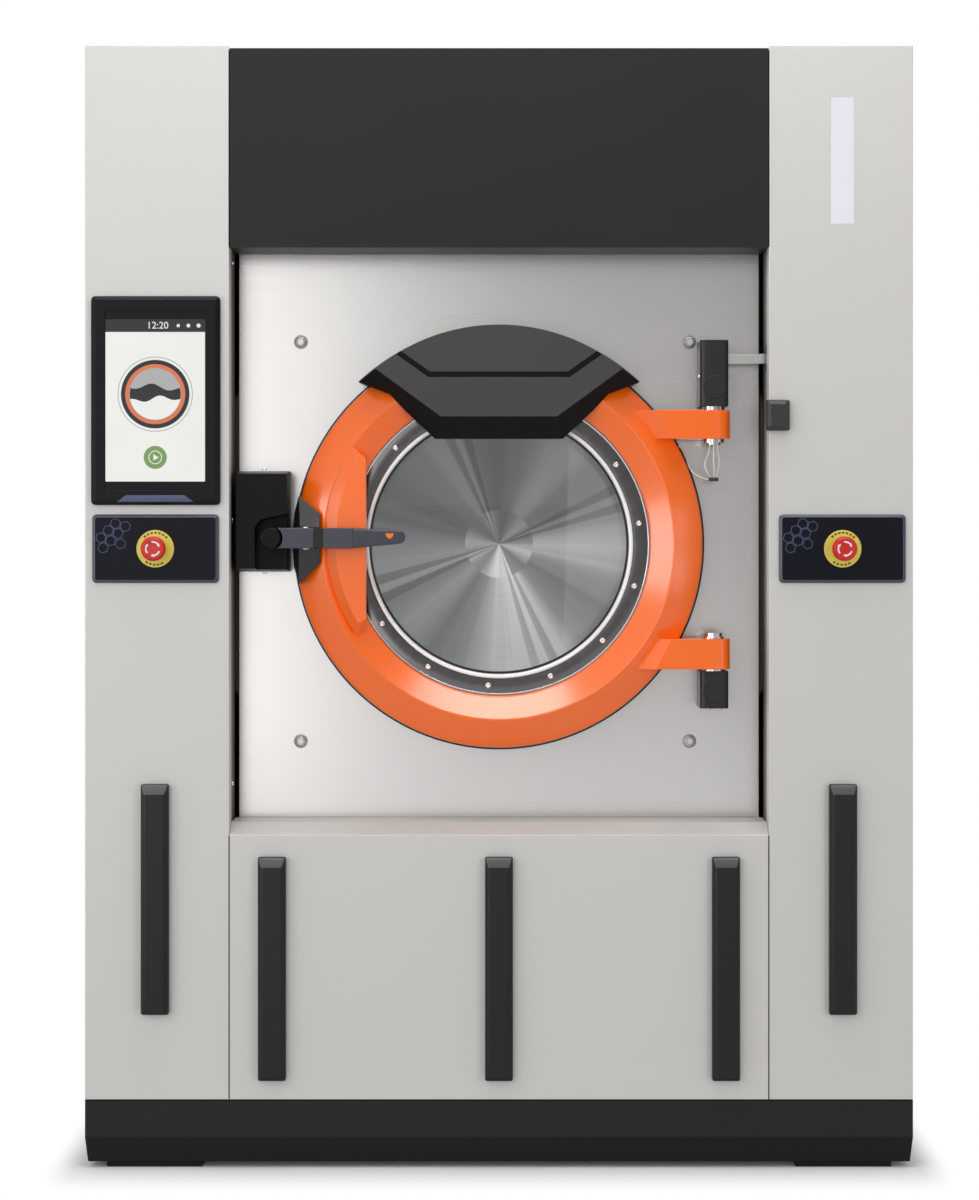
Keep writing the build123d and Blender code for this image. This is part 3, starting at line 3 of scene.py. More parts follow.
import bmesh
import bpy
import numpy as np
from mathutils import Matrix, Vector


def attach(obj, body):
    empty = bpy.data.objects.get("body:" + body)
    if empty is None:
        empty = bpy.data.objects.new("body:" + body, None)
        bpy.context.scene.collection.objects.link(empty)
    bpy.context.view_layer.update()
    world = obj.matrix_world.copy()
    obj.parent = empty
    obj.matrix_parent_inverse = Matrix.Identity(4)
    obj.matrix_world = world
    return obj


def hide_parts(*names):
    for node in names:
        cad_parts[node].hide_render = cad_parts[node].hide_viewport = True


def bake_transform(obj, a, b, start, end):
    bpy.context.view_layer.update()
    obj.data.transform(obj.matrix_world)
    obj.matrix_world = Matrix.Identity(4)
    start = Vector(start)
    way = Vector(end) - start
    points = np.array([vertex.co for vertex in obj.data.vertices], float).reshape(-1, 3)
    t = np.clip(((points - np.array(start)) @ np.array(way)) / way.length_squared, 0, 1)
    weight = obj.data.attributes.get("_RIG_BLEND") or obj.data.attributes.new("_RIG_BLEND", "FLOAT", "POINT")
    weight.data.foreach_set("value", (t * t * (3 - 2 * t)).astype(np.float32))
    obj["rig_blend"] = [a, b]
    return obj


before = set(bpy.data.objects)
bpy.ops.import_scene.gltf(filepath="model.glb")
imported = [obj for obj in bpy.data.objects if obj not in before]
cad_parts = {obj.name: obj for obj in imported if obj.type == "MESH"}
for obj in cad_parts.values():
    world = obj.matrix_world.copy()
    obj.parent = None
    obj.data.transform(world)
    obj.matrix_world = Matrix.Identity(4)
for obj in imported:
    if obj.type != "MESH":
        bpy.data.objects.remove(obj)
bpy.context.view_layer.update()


# The view: the machine seen square on, with the lens level at the middle of the door and about
# five metres in front of the column faces, and a small shift that sets it in the frame.
def add_object(name, data):
    """A new object in the scene that holds the data."""
    made = bpy.data.objects.new(name, data)
    bpy.context.scene.collection.objects.link(made)
    return made


camera = add_object("camera", bpy.data.cameras.new("camera"))
camera.location = (0.0, -5.65, 1.024)
camera.rotation_euler = (math.radians(90), 0.0, 0.0)
camera.data.lens, camera.data.sensor_width = 92.0, 36.0
camera.data.shift_x, camera.data.shift_y = -0.0079, -0.05
camera.data.clip_end = 60.0
bpy.context.scene.camera = camera
bpy.context.scene.view_settings.view_transform = "Standard"


# The hinge wires: three thin sleeved wires that hang out of the upper hinge pin and are held by a black
# tie, and one lead from the tie up to the door ring's edge. Each is a smooth line through its route.
def hung_wire(name, route, length):
    """A NURBS line of order three whose control points are the route, with a round section."""
    line = bpy.data.curves.new(name, "CURVE")
    line.dimensions = "3D"
    spline = line.splines.new("NURBS")
    spline.points.add(len(route) - 1)
    spline.points.foreach_set("co", np.concatenate([route, np.ones((len(route), 1))], 1).ravel())
    spline.order_u = 3
    spline.use_endpoint_u = True
    spline.resolution_u = 12
    line.bevel_depth = 0.0013
    line.bevel_resolution = 4
    line.use_fill_caps = True
    wire = add_object(name, line)
    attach(wire, "door")
    return wire, tuple(route[0]), length


mm = 0.001
door_z, ring_radius, lead_rise = 1.017, 0.338, 0.160
pin_foot, tie_top = np.array([0.354, -0.590, 1.1806]), np.array([0.354, -0.590, 1.127])
ring_side = np.array([math.sqrt(ring_radius ** 2 - lead_rise ** 2), -0.590, door_z + lead_rise])
hung_wires = [
    hung_wire(name, np.concatenate([pin_foot + mm * np.array(route), [tie_top + mm * np.array(end)]]), length)
    for name, route, end, length in (
        ("wire_left", [(-6, 0, 0), (-7, -1, -12), (-16, -6, -30), (-11, -4, -47)], (-5, 0, 0), 0.0591),
        ("wire_middle", [(0, -4, 0), (0, -5, -13), (-1, -12, -29), (1, -9, -44)], (0, -3, 0), 0.0566),
        ("wire_right", [(6, 0, 0), (7, 1, -12), (11, 6, -29), (7, 3, -46)], (4, 0, 0), 0.0560))]
hung_wires.append(hung_wire("wire_lead", np.concatenate([
    tie_top + mm * np.array([(-8, 0, -3), (-20, 4, -1), (-38, 14, 12), (-43, 24, 32)]),
    ring_side + mm * np.array([(8, 28, -3), (0, 30, 3)])]), 0.0855))


# The studio: a plain pale floor that keeps the soft shadow, an even white surround, large soft lamps from
# the left front, the right and above, and strips that only gloss sees, for the light on steel and paint.
def make_node(tree, kind, feeds=None, **settings):
    """Adds a shader node. Each input in feeds takes a value, an output, or a node's first output."""
    made = tree.nodes.new("ShaderNode" + kind)
    for key, value in settings.items():
        setattr(made, key, value)
    for key, value in (feeds or {}).items():
        if isinstance(value, bpy.types.Node):
            value = value.outputs[0]
        if isinstance(value, bpy.types.NodeSocket):
            tree.links.new(value, made.inputs[key])
        else:
            made.inputs[key].default_value = value
    return made


def maths(tree, operation, *feeds):
    """One step of arithmetic on numbers."""
    return make_node(tree, "Math", dict(enumerate(feeds)), operation=operation)


def vectors(tree, operation, *feeds):
    """One step of arithmetic on vectors."""
    return make_node(tree, "VectorMath", dict(enumerate(feeds)), operation=operation)


def mapped(tree, value, start, end, low, high, **settings):
    """Carries a value from the range start to end over to low to high, and holds it at both ends."""
    return make_node(tree, "MapRange", {"Value": value, "From Min": start, "From Max": end, "To Min": low,
                                        "To Max": high}, **settings)


def noise(tree, place, scale, detail, roughness=0.5):
    """A smooth value that wanders over the surface, with its patches about one over scale apart."""
    return make_node(tree, "TexNoise", {"Vector": place, "Scale": scale, "Detail": detail,
                                        "Roughness": roughness})


def blank_material(name):
    """An empty material, its node tree and the object's own coordinates."""
    material = bpy.data.materials.new(name)
    material.use_nodes = True
    tree = material.node_tree
    tree.nodes.clear()
    return material, tree, make_node(tree, "TexCoord").outputs["Object"]


def white_surround():
    """White where it is seen straight on or through glass. In gloss it is white overhead, behind the
    machine and on its left, and falls to a light grey on the right and behind the lens."""
    bright_side, gloss_low, diffuse_level = (-0.75, 0.40, 0.53), 0.32, 0.42
    world = bpy.data.worlds.new("surround")
    world.use_nodes = True
    tree = world.node_tree
    tree.nodes.clear()
    place = make_node(tree, "TexCoord").outputs["Generated"]
    path = make_node(tree, "LightPath").outputs
    facing = vectors(tree, "DOT_PRODUCT", place, bright_side).outputs["Value"]
    gloss = mapped(tree, facing, -0.8, 0.6, gloss_low, 1.0)
    unseen = mapped(tree, path["Is Glossy Ray"], 0.0, 1.0, diffuse_level, gloss)
    seen = maths(tree, "MAXIMUM", path["Is Camera Ray"], path["Is Transmission Ray"])
    strength = mapped(tree, seen, 0.0, 1.0, unseen, 1.0)
    back = make_node(tree, "Background", {"Color": (1.0, 1.0, 1.0, 1.0), "Strength": strength})
    make_node(tree, "OutputWorld", {"Surface": back})
    bpy.context.scene.world = world


def soft_lamp(name, place, aim, size, power):
    """A rectangular lamp at place that faces aim. It isn't seen itself, straight on or through glass."""
    lamp = bpy.data.lights.new(name, "AREA")
    lamp.shape = "RECTANGLE"
    lamp.size, lamp.size_y = size
    lamp.energy = power
    held = add_object(name, lamp)
    held.location = place
    heading = np.subtract(aim, place)
    flat = math.hypot(heading[0], heading[1])
    held.rotation_euler = (math.atan2(flat, -heading[2]), 0.0, math.atan2(-heading[0], heading[1]))
    held.visible_camera = held.visible_transmission = False
    return held


def pale_floor():
    """A square of floor. Round the machine it is matt and keeps the shadow; 20 cm before its foot and
    7 cm beside it it has gone over to plain white, so that it has no far edge."""
    reach, footprint, fade, side_speed = 14.0, (0.675, 0.65, 0.0), 0.20, (3.0, 1.0, 1.0)
    mesh = bpy.data.meshes.new("floor")
    mesh.from_pydata([(-reach, -reach, 0), (reach, -reach, 0), (reach, reach, 0), (-reach, reach, 0)], [],
                     [(0, 1, 2, 3)])
    material, tree, place = blank_material("pale_floor")
    path = make_node(tree, "LightPath").outputs
    rough = mapped(tree, noise(tree, place, 3.0, 3.0), 0.0, 1.0, 0.6, 0.7)
    matt = make_node(tree, "BsdfPrincipled", {"Base Color": (0.86, 0.86, 0.855, 1.0), "Roughness": rough,
                                              "Specular IOR Level": 0.1})
    seen = maths(tree, "MAXIMUM", path["Is Camera Ray"], path["Is Glossy Ray"])
    glow = make_node(tree, "Emission", {"Strength": mapped(tree, seen, 0.0, 1.0, 0.0, 0.03)})
    near = make_node(tree, "AddShader", {0: matt, 1: glow})
    far = make_node(tree, "Emission", {"Strength": mapped(tree, seen, 0.0, 1.0, 0.42, 1.0)})
    past = vectors(tree, "SUBTRACT", vectors(tree, "ABSOLUTE", place), footprint)
    outside = vectors(tree, "MULTIPLY", vectors(tree, "MAXIMUM", past, (0.0, 0.0, 0.0)), side_speed)
    away = vectors(tree, "LENGTH", outside).outputs["Value"]
    blend = mapped(tree, away, 0.0, fade, 0.0, 1.0, interpolation_type="SMOOTHSTEP")
    both = make_node(tree, "MixShader", {0: blend, 1: near, 2: far})
    make_node(tree, "OutputMaterial", {"Surface": both})
    mesh.materials.append(material)
    add_object("floor", mesh)


white_surround()
pale_floor()
for name, place, aim, size, power in (
        ("key_lamp", (-2.45, -4.2, 2.05), (-0.1, -0.5, 1.0), (4.4, 4.0), 80.0),
        ("fill_lamp", (2.6, -4.4, 1.25), (0.2, -0.5, 1.0), (1.6, 2.2), 42.0)):
    soft_lamp(name, place, aim, size, power).visible_glossy = False
soft_lamp("top_lamp", (0.0, -1.0, 3.7), (0.0, -0.75, 0.9), (2.6, 1.3), 46.0)
for name, place, aim, size, power in (
        ("key_gloss", (-1.27, -4.95, 2.05), (-0.1, -0.5, 1.0), (1.6, 4.0), 29.0),
        ("left_strip", (-2.72, -2.87, 1.05), (0.28, -0.6, 1.02), (0.36, 1.5), 16.0),
        ("side_strip", (-2.84, -1.88, 1.30), (-0.3, -0.6, 1.0), (0.5, 1.0), 15.0),
        ("right_strip", (2.84, -1.80, 0.95), (0.3, -0.6, 1.0), (0.8, 1.3), 6.0),
        ("high_strip", (0.15, -2.65, 3.47), (0.05, -0.6, 0.75), (2.6, 0.55), 56.0)):
    soft_lamp(name, place, aim, size, power).visible_diffuse = False


# The cabinet skins: folded stainless sheet with a fine brushed grain that runs across the machine.
# The columns, the service panel, the cheeks, the side and rear panels and the cover are one sheet thick.
def make_group(name, outputs, **inputs):
    """A node group. An input whose first value is a tuple is a vector, and so is the output Normal."""
    group = bpy.data.node_groups.new(name, "ShaderNodeTree")
    for label, value in inputs.items():
        kind = "NodeSocketVector" if isinstance(value, tuple) else "NodeSocketFloat"
        group.interface.new_socket(label, in_out="INPUT", socket_type=kind).default_value = value
    for label in outputs:
        kind = "NodeSocketVector" if label == "Normal" else "NodeSocketFloat"
        group.interface.new_socket(label, in_out="OUTPUT", socket_type=kind)
    return group, group.nodes.new("NodeGroupInput").outputs


def put_out(group, **sources):
    """Feeds each of the group's outputs from a node."""
    end = group.nodes.new("NodeGroupOutput")
    for label, source in sources.items():
        group.links.new(source.outputs[0], end.inputs[label])


def put_out_grain(group, given, grain, cloud, share, swing):
    """Both noises are mixed and centred on zero. That moves Shade round one, and Roughness round the
    given roughness; Height is the grain alone."""
    mixed = make_node(group, "Mix", {0: share, 2: grain, 3: cloud})
    centred = maths(group, "SUBTRACT", mixed, 0.5)
    put_out(group, Shade=maths(group, "MULTIPLY_ADD", centred, given["Depth"], 1.0),
            Roughness=maths(group, "MULTIPLY_ADD", centred, swing, given["Roughness"]), Height=grain)
    return group


def brushed_group():
    """Long fine streaks, from a noise that is stretched along the brushing, over broad pale clouds."""
    group, given = make_group("brushed_grain", ("Shade", "Roughness", "Height"), Position=(0.0, 0.0, 0.0),
                              Stretch=(4.0, 400.0, 400.0), Depth=0.12, Roughness=0.34)
    drawn = vectors(group, "MULTIPLY", given["Position"], given["Stretch"])
    streak = noise(group, drawn, 1.0, 4.0, 0.65)
    cloud = noise(group, given["Position"], 1.3, 2.0)
    return put_out_grain(group, given, streak, cloud, share=0.35, swing=0.3)


def rounded_group():
    """A normal that rounds sharp edges over a small radius, and a mask that is one along such edges."""
    group, given = make_group("rounded_edges", ("Normal", "Mask"), Radius=0.001)
    soft = make_node(group, "Bevel", {"Radius": given["Radius"]}, samples=4)
    flat = make_node(group, "NewGeometry").outputs["Normal"]
    same = vectors(group, "DOT_PRODUCT", soft, flat).outputs["Value"]
    put_out(group, Normal=soft, Mask=mapped(group, same, 0.99, 0.8, 0.0, 1.0))
    return group


brushed_grain = brushed_group()
rounded_edges = rounded_group()


def shaded(tree, colour, shade):
    """A colour, or the output that carries one, times a value that changes over the surface."""
    grey = make_node(tree, "CombineColor", {0: shade, 1: shade, 2: shade})
    colour = (*colour, 1.0) if isinstance(colour, tuple) else colour
    product = make_node(tree, "Mix", {0: 1.0, 6: colour, 7: grey}, data_type="RGBA", blend_type="MULTIPLY")
    return product.outputs[2]


def finish(name, colour, grain, given, edge, painted_light, bump, lift, shine):
    """A finish on one of the grains, which shifts its colour and roughness and raises a faint bump of
    height lift. Sharp edges look rounded over edge, and the factor after edge brightens them: a painted
    highlight along every sharp edge."""
    material, tree, place = blank_material(name)
    surface = make_node(tree, "Group", {"Position": place, **given}, node_tree=grain).outputs
    rounding = make_node(tree, "Group", {"Radius": edge}, node_tree=rounded_edges).outputs
    # The edge mask lifts the shade along sharp edges: a painted highlight.
    shade = maths(tree, "MULTIPLY_ADD", rounding["Mask"], painted_light, surface["Shade"])
    relief = make_node(tree, "Bump", {"Height": surface["Height"], "Strength": bump, "Distance": lift,
                                      "Normal": rounding["Normal"]})
    face = make_node(tree, "BsdfPrincipled", {"Base Color": shaded(tree, colour, shade), "Normal": relief,
                                              "Roughness": surface["Roughness"], **shine})
    make_node(tree, "OutputMaterial", {"Surface": face})
    return material


def steel(name, colour, stretch, roughness=0.34, depth=0.12, bump=0.02, edge=0.0008, metallic=1.0,
          painted_light=0.0):
    """Brushed steel; its streaks run along the axis with the smallest stretch."""
    given = {"Stretch": stretch, "Depth": depth, "Roughness": roughness}
    return finish(name, colour, brushed_grain, given, edge, painted_light, bump, lift=0.0004,
                  shine={"Metallic": metallic})


def dress(material, *nodes):
    """Gives CAD nodes a finish; their shape stays as it is."""
    for node in nodes:
        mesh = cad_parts[node].data
        mesh.materials.clear()
        mesh.materials.append(material)


skin_steel = steel("brushed_skin", (0.57, 0.56, 0.54), (5.0, 900.0, 900.0), roughness=0.48, depth=0.04,
                   bump=0.005, metallic=0.25, edge=0.0016, painted_light=0.5)
side_steel = steel("brushed_side", (0.57, 0.56, 0.54), (900.0, 5.0, 900.0), roughness=0.66, depth=0.04,
                   bump=0.005, metallic=0.08, edge=0.0016, painted_light=0.5)
# The cheeks, the side walls of the deep recess between the columns, are darkened stainless: painted shade for
# the recess.
cheek_painted_shade = steel("cheek_painted_shade", (0.090, 0.081, 0.075), (900.0, 5.0, 900.0), roughness=0.5, depth=0.1,
                    bump=0.006, metallic=0.3)
dress(skin_steel, "left_column", "right_column", "lower_panel", "rear_panel", "top_cover")
dress(side_steel, "side_panels")
dress(cheek_painted_shade, "recess_cheeks")


# The header fascia: one folded sheet in a matt dark grey powder coat, screwed to the columns behind
# its edges. The coat's fine grain is the one that every painted, moulded or rubber piece has.
def grained_group():
    """A fine moulded or sprayed grain, with a broad slow change of tone."""
    group, given = make_group("fine_grain", ("Shade", "Roughness", "Height"), Position=(0.0, 0.0, 0.0),
                              Scale=900.0, Depth=0.2, Roughness=0.5)
    grain = noise(group, given["Position"], given["Scale"], 3.0)
    cloud = noise(group, given["Position"], 6.0, 3.0)
    return put_out_grain(group, given, grain, cloud, share=0.55, swing=0.25)


fine_grain = grained_group()


def coated(name, colour, roughness, grain=900.0, depth=0.2, bump=0.1, coat=0.0, edge=0.0008, painted_light=0.1,
           specular=0.5, sheet=0.08):
    """Paint, plastic or rubber; coat is the strength of a clear lacquer and sheet its roughness."""
    given = {"Scale": grain, "Depth": depth, "Roughness": roughness}
    shine = {"Specular IOR Level": specular, "Coat Weight": coat, "Coat Roughness": sheet}
    return finish(name, colour, fine_grain, given, edge, painted_light, bump, lift=0.0002, shine=shine)


fascia_paint = coated("fascia_paint", (0.0125, 0.0115, 0.012), 0.50, grain=1500.0, bump=0.05, specular=0.2)
dress(fascia_paint, "header_fascia")


# The plinth: black painted skirts folded from sheet and screwed round the floor rails, on four
# rubber-faced pads.
def painted_low_shade(material, level, low):
    """Below a height the paint is darker: painted shade for the skirts' lower band, which tapers inwards and
    gets less light.
    """
    blur = 0.001
    tree = material.node_tree
    face = next(node for node in tree.nodes if node.bl_idname == "ShaderNodeBsdfPrincipled")
    place = make_node(tree, "TexCoord").outputs["Object"]
    height = make_node(tree, "SeparateXYZ", {0: place}).outputs[2]
    painted_light = mapped(tree, height, level - blur, level + blur, low, 1.0)
    colour = face.inputs["Base Color"].links[0].from_socket
    tree.links.new(shaded(tree, colour, painted_light), face.inputs["Base Color"])


plinth_paint = coated("plinth_paint", (0.0170, 0.0158, 0.0160), 0.48, bump=0.08, specular=0.15)
pad_rubber = coated("pad_rubber", (0.009, 0.009, 0.009), 0.75, grain=400.0, bump=0.3, specular=0.2)
# The skirts' tapered band below 51 mm is darkened: painted shade.
painted_low_shade(plinth_paint, 0.051, 0.45)
dress(plinth_paint, "plinth_skirts")
dress(pad_rubber, "foot_pads")


# The works inside the cabinet: frames and cradle of welded hollow sections in grey paint, zinc-plated
# dampers and shafts, rubber belts, and the painted castings of the bearing housing, pulley and motor.
frame_paint = coated("frame_paint", (0.15, 0.16, 0.175), 0.5, depth=0.3)
zinc = steel("zinc_plate", (0.55, 0.56, 0.57), (60.0, 60.0, 60.0), roughness=0.38)
bellows_rubber = coated("bellows_rubber", (0.014, 0.014, 0.015), 0.6, grain=300.0, bump=0.3)
cast_paint = coated("cast_paint", (0.09, 0.10, 0.12), 0.6, grain=250.0, depth=0.4, bump=0.35)
motor_paint = coated("motor_paint", (0.05, 0.08, 0.15), 0.45, grain=300.0, bump=0.25)
dress(frame_paint, "base_rails", "upper_frame", "cradle", "inverter_box")
dress(zinc, "damper_rods", "damper_tubes", "drum_shaft", "bearings_and_seal", "motor_rotor")
dress(bellows_rubber, "air_springs", "drive_belts")
dress(cast_paint, "bearing_housing", "drum_pulley")
dress(motor_paint, "motor_housing")


# The touch screen: a black moulded housing with a wide bevelled frame, a glass display and, along its
# foot, a raised slate-blue tab. The display shows a plain drum symbol, digits and a start button.
def welded(mesh, crease, mend):
    """Merges doubled points, mends the faces, and shades smooth except where it turns more than crease."""
    work = bmesh.new()
    work.from_mesh(mesh)
    bmesh.ops.remove_doubles(work, verts=work.verts, dist=2e-6)
    mend(work)
    work.to_mesh(mesh)
    work.free()
    for layer in [layer for layer in mesh.attributes if layer.name == "custom_normal"]:
        mesh.attributes.remove(layer)
    mesh.shade_smooth()
    mesh.set_sharp_from_angle(angle=math.radians(crease))


def build(name, points, faces, material, body, replaces=(), slot=None, crease=35.0):
    """Makes a welded mesh with its faces outwards. A piece that stretches between two bodies is made
    with no body."""
    mesh = bpy.data.meshes.new(name)
    mesh.from_pydata(np.reshape(points, (-1, 3)).tolist(), [], [tuple(face) for face in faces])
    welded(mesh, crease, lambda work: bmesh.ops.recalc_face_normals(work, faces=work.faces))
    mesh.materials.append(material)
    piece = add_object(name, mesh)
    if body:
        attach(piece, body)
    for node in replaces:
        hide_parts(node)
    return piece


def grid_faces(rows, columns, closed=False):
    """The quads of a grid of points, counted row by row. Each row is a ring; closed joins the last row to
    the first."""
    r, c = np.meshgrid(np.arange(rows if closed else rows - 1), np.arange(columns), indexing="ij")
    r2, c2 = (r + 1) % rows, (c + 1) % columns
    return np.stack([r * columns + c, r * columns + c2, r2 * columns + c2, r2 * columns + c], 2).reshape(-1, 4)


def tube_faces(rows, columns):
    """The quads of a row of rings, and one face at each end."""
    ends = np.arange(rows * columns).reshape(rows, columns)[[0, -1]]
    return grid_faces(rows, columns).tolist() + ends.tolist()


def softened(corners, radius, steps=5):
    """Rounds each corner: a parabola between two points that lie radius back along its sides."""
    p = np.asarray(corners, float)
    r = np.broadcast_to(np.asarray(radius, float), (len(p),))
    ends = []
    for shift in (1, -1):
        side = np.roll(p, shift, 0) - p
        length = np.linalg.norm(side, axis=1)
        ends.append((p + side / length[:, None] * np.minimum(r, 0.49 * length)[:, None])[:, None])
    s = np.linspace(0, 1, steps)[None, :, None]
    bends = (1 - s) ** 2 * ends[0] + 2 * s * (1 - s) * p[:, None] + s ** 2 * ends[1]
    return bends.reshape(-1, p.shape[1])


def inset(corners, distance):
    """Moves every side of an outline inwards by a distance and meets them again at the corners."""
    p = np.asarray(corners, float)
    turn = np.sign(np.sum(p[:, 0] * np.roll(p[:, 1], -1) - np.roll(p[:, 0], -1) * p[:, 1]))
    side = np.roll(p, -1, 0) - p
    side = side / np.linalg.norm(side, axis=1)[:, None]
    normal = turn * np.stack([-side[:, 1], side[:, 0]], 1)
    last = np.roll(normal, 1, 0)
    return p + distance * (normal + last) / (1 + np.sum(normal * last, 1))[:, None]


def stacked(name, rings, material, body, **facts):
    """A flat piece seen from the front: outlines (points, y) in a row, closed by a face at both ends."""
    n = len(rings[0][0])
    points = np.concatenate([np.stack([ring[:, 0], np.full(n, y), ring[:, 1]], 1) for ring, y in rings])
    return build(name, points, tube_faces(len(rings), n), material, body, **facts)


def pressed(name, corners, levels, material, body, radius, steps=6, **facts):
    """A flat piece with one rounded outline, drawn in by inset, at each level (inset, y)."""
    rings = [(softened(inset(corners, d), np.maximum(radius - d, 0.0002), steps), y) for d, y in levels]
    return stacked(name, rings, material, body, **facts)


def flat_shape(name, outline, y, material, body, lift=0.0003):
    """A thin flat shape that stands a hair proud of the face behind it."""
    outline = np.asarray(outline, float)
    return stacked(name, [(outline, y), (outline, y - lift)], material, body)


def box_corners(x, z, width, height):
    """The corners of an upright rectangle round its middle."""
    return [(x + i * width / 2, z + j * height / 2) for i, j in ((-1, -1), (1, -1), (1, 1), (-1, 1))]


def circle(x, z, radius, steps=48, start=0.0):
    """A circle's outline, or a regular polygon's with its first corner at the angle start."""
    angle = np.radians(np.linspace(start, start + 360.0, steps, endpoint=False))
    return np.stack([x + radius * np.cos(angle), z + radius * np.sin(angle)], 1)


def annulus(x, z, inner, outer, start=0.0, sweep=360.0, steps=64):
    """The outline of a ring or of part of one; a whole ring is cut by a hair at its start."""
    gap = 0.02 if sweep >= 360.0 else 0.0
    angle = np.radians(np.linspace(start + gap, start + sweep - gap, steps))
    rim = np.stack([np.cos(angle), np.sin(angle)], 1)
    return np.concatenate([rim * outer, rim[::-1] * inner]) + (x, z)


def lit(name, colour, strength):
    """A backlit printed face: its own light carries the colour, under a thin glossy cover."""
    printed = tuple(0.4 * c for c in colour)
    material, tree, place = blank_material(name)
    level = mapped(tree, noise(tree, place, 9.0, 1.0), 0.0, 1.0, 0.96, 1.04)
    face = make_node(tree, "BsdfPrincipled", {
        "Base Color": shaded(tree, printed, level), "Roughness": 0.2, "Specular IOR Level": 0.2,
        "Emission Color": shaded(tree, colour, level), "Emission Strength": strength})
    make_node(tree, "OutputMaterial", {"Surface": face})
    return material


housing_black = coated("housing_black", (0.0075, 0.0075, 0.009), 0.32, depth=0.1, bump=0.03, specular=0.10,
                       painted_light=1.2)
tab_blue = coated("tab_blue", (0.045, 0.058, 0.13), 0.4, bump=0.03)
screen_white = lit("screen_white", (0.86, 0.865, 0.83), 0.59)
screen_dark = lit("screen_dark", (0.026, 0.026, 0.031), 0.6)
screen_grey = lit("screen_grey", (0.42, 0.43, 0.42), 0.6)
screen_orange = lit("screen_orange", (0.74, 0.20, 0.09), 0.55)
screen_green = lit("screen_green", (0.19, 0.33, 0.11), 0.6)
screen_x, screen_z = -0.559, 1.251
pane_width, pane_height, pane_y, bar_height = 0.1618, 0.2638, -0.6630, 0.0206
bar_z = screen_z + (pane_height - bar_height) / 2
drum_z, button_z, tab_z = 1.2612, screen_z - 0.0926655, screen_z - 0.1652
pressed("screen_housing", box_corners(screen_x, screen_z, 0.210, 0.340),
        [(0.0, -0.650), (0.0, -0.6582), (0.0004, -0.6587), (0.0010, -0.6591), (0.0056, -0.6635),
         (0.0064, -0.6639), (0.0070, -0.664), (0.0078, -0.664), (0.0222, -0.664), (0.0230, -0.664),
         (0.0234, -0.6638), (0.0235, -0.6625)],
        housing_black, "cabinet", radius=0.008, replaces=("control_housing",), slot="control_black")
pressed("screen_pane", box_corners(screen_x, screen_z, pane_width, pane_height),
        [(0.0, -0.660), (0.0, pane_y)], screen_white, "cabinet", radius=0.0015,
        replaces=("control_display",), slot="display_glass")


def wave_outline(level, height, turns, phase):
    """The part of a disc below a sine wave: the wave from left to right, then the disc's lower arc."""
    radius = 0.0415
    half = math.sqrt(radius ** 2 - level ** 2)
    x = np.linspace(-half, half, 40)
    wave = np.stack([x, level + height * np.sin(turns * x / half * math.pi + phase)
                     * np.cos(x / half * math.pi / 2)], 1)
    end = math.asin(level / radius)
    arc = np.linspace(end, -math.pi - end, 40)[1:-1]
    lower = radius * np.stack([np.cos(arc), np.sin(arc)], 1)
    return np.concatenate([wave, lower]) + (screen_x, drum_z)


arrow = np.array([(-0.0030, -0.0052), (0.0058, 0.0), (-0.0030, 0.0052)]) + (screen_x, button_z)
for label, outline, shade, lift in (
        ("screen_bar", box_corners(screen_x, bar_z, pane_width, bar_height), screen_dark, 0.0003),
        ("icon_halo", annulus(screen_x, drum_z, 0.0598, 0.0611), screen_grey, 0.0003),
        ("icon_rim", annulus(screen_x, drum_z, 0.0489, 0.0557), screen_dark, 0.0004),
        ("icon_ring", annulus(screen_x, drum_z, 0.0424, 0.0489), screen_orange, 0.0004),
        ("icon_window", circle(screen_x, drum_z, 0.0424), screen_grey, 0.0003),
        ("icon_drum", wave_outline(0.0100, 0.0075, 1.1, 2.2), screen_dark, 0.0005),
        ("icon_water", wave_outline(-0.0080, 0.0060, 1.4, 0.6), screen_white, 0.0007),
        ("start_button", circle(screen_x, button_z, 0.0187), screen_green, 0.0005),
        ("start_circle", annulus(screen_x, button_z, 0.0097, 0.0110), screen_white, 0.0007),
        ("start_arrow", arrow, screen_white, 0.0007)):
    flat_shape(label, outline, pane_y, shade, "cabinet", lift=lift)


def digits(name, text, height, place, material, body):
    """Plain digits, made a flat mesh before they take their place."""
    curve = bpy.data.curves.new(name, "FONT")
    curve.body = text
    curve.size = height
    curve.extrude = 0.00015
    curve.align_x = "CENTER"
    letters = bpy.data.objects.new(name + "_line", curve)
    mesh = bpy.data.meshes.new_from_object(letters)
    flat = np.empty(3 * len(mesh.vertices))
    mesh.vertices.foreach_get("co", flat)
    x, y, z = flat.reshape(-1, 3).T
    mesh.vertices.foreach_set("co", (np.stack([x, -z, y], 1) + place).ravel())
    bpy.data.objects.remove(letters)
    mesh.materials.clear()
    mesh.materials.append(material)
    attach(add_object(name, mesh), body)


digits("bar_time", "12:20", 0.0160, (screen_x + 0.004, pane_y - 0.0004, bar_z - 0.0048), screen_white,
       "cabinet")
for step, sides in enumerate((4, 6, 24)):
    icon = circle(screen_x + 0.0375 + 0.0165 * step, bar_z, 0.0033, sides, 45.0)
    flat_shape("bar_icon_%d" % step, icon, pane_y, screen_white, "cabinet", lift=0.0005)
tab = np.array([(-0.0622, 0.0), (0.0622, 0.0), (0.0478, 0.011), (-0.0478, 0.011)]) + (screen_x, tab_z)
pressed("screen_tab", tab, [(0.0, -0.6638), (0.0, -0.6650), (0.0004, -0.6652)], tab_blue, "cabinet",
        radius=0.0006)


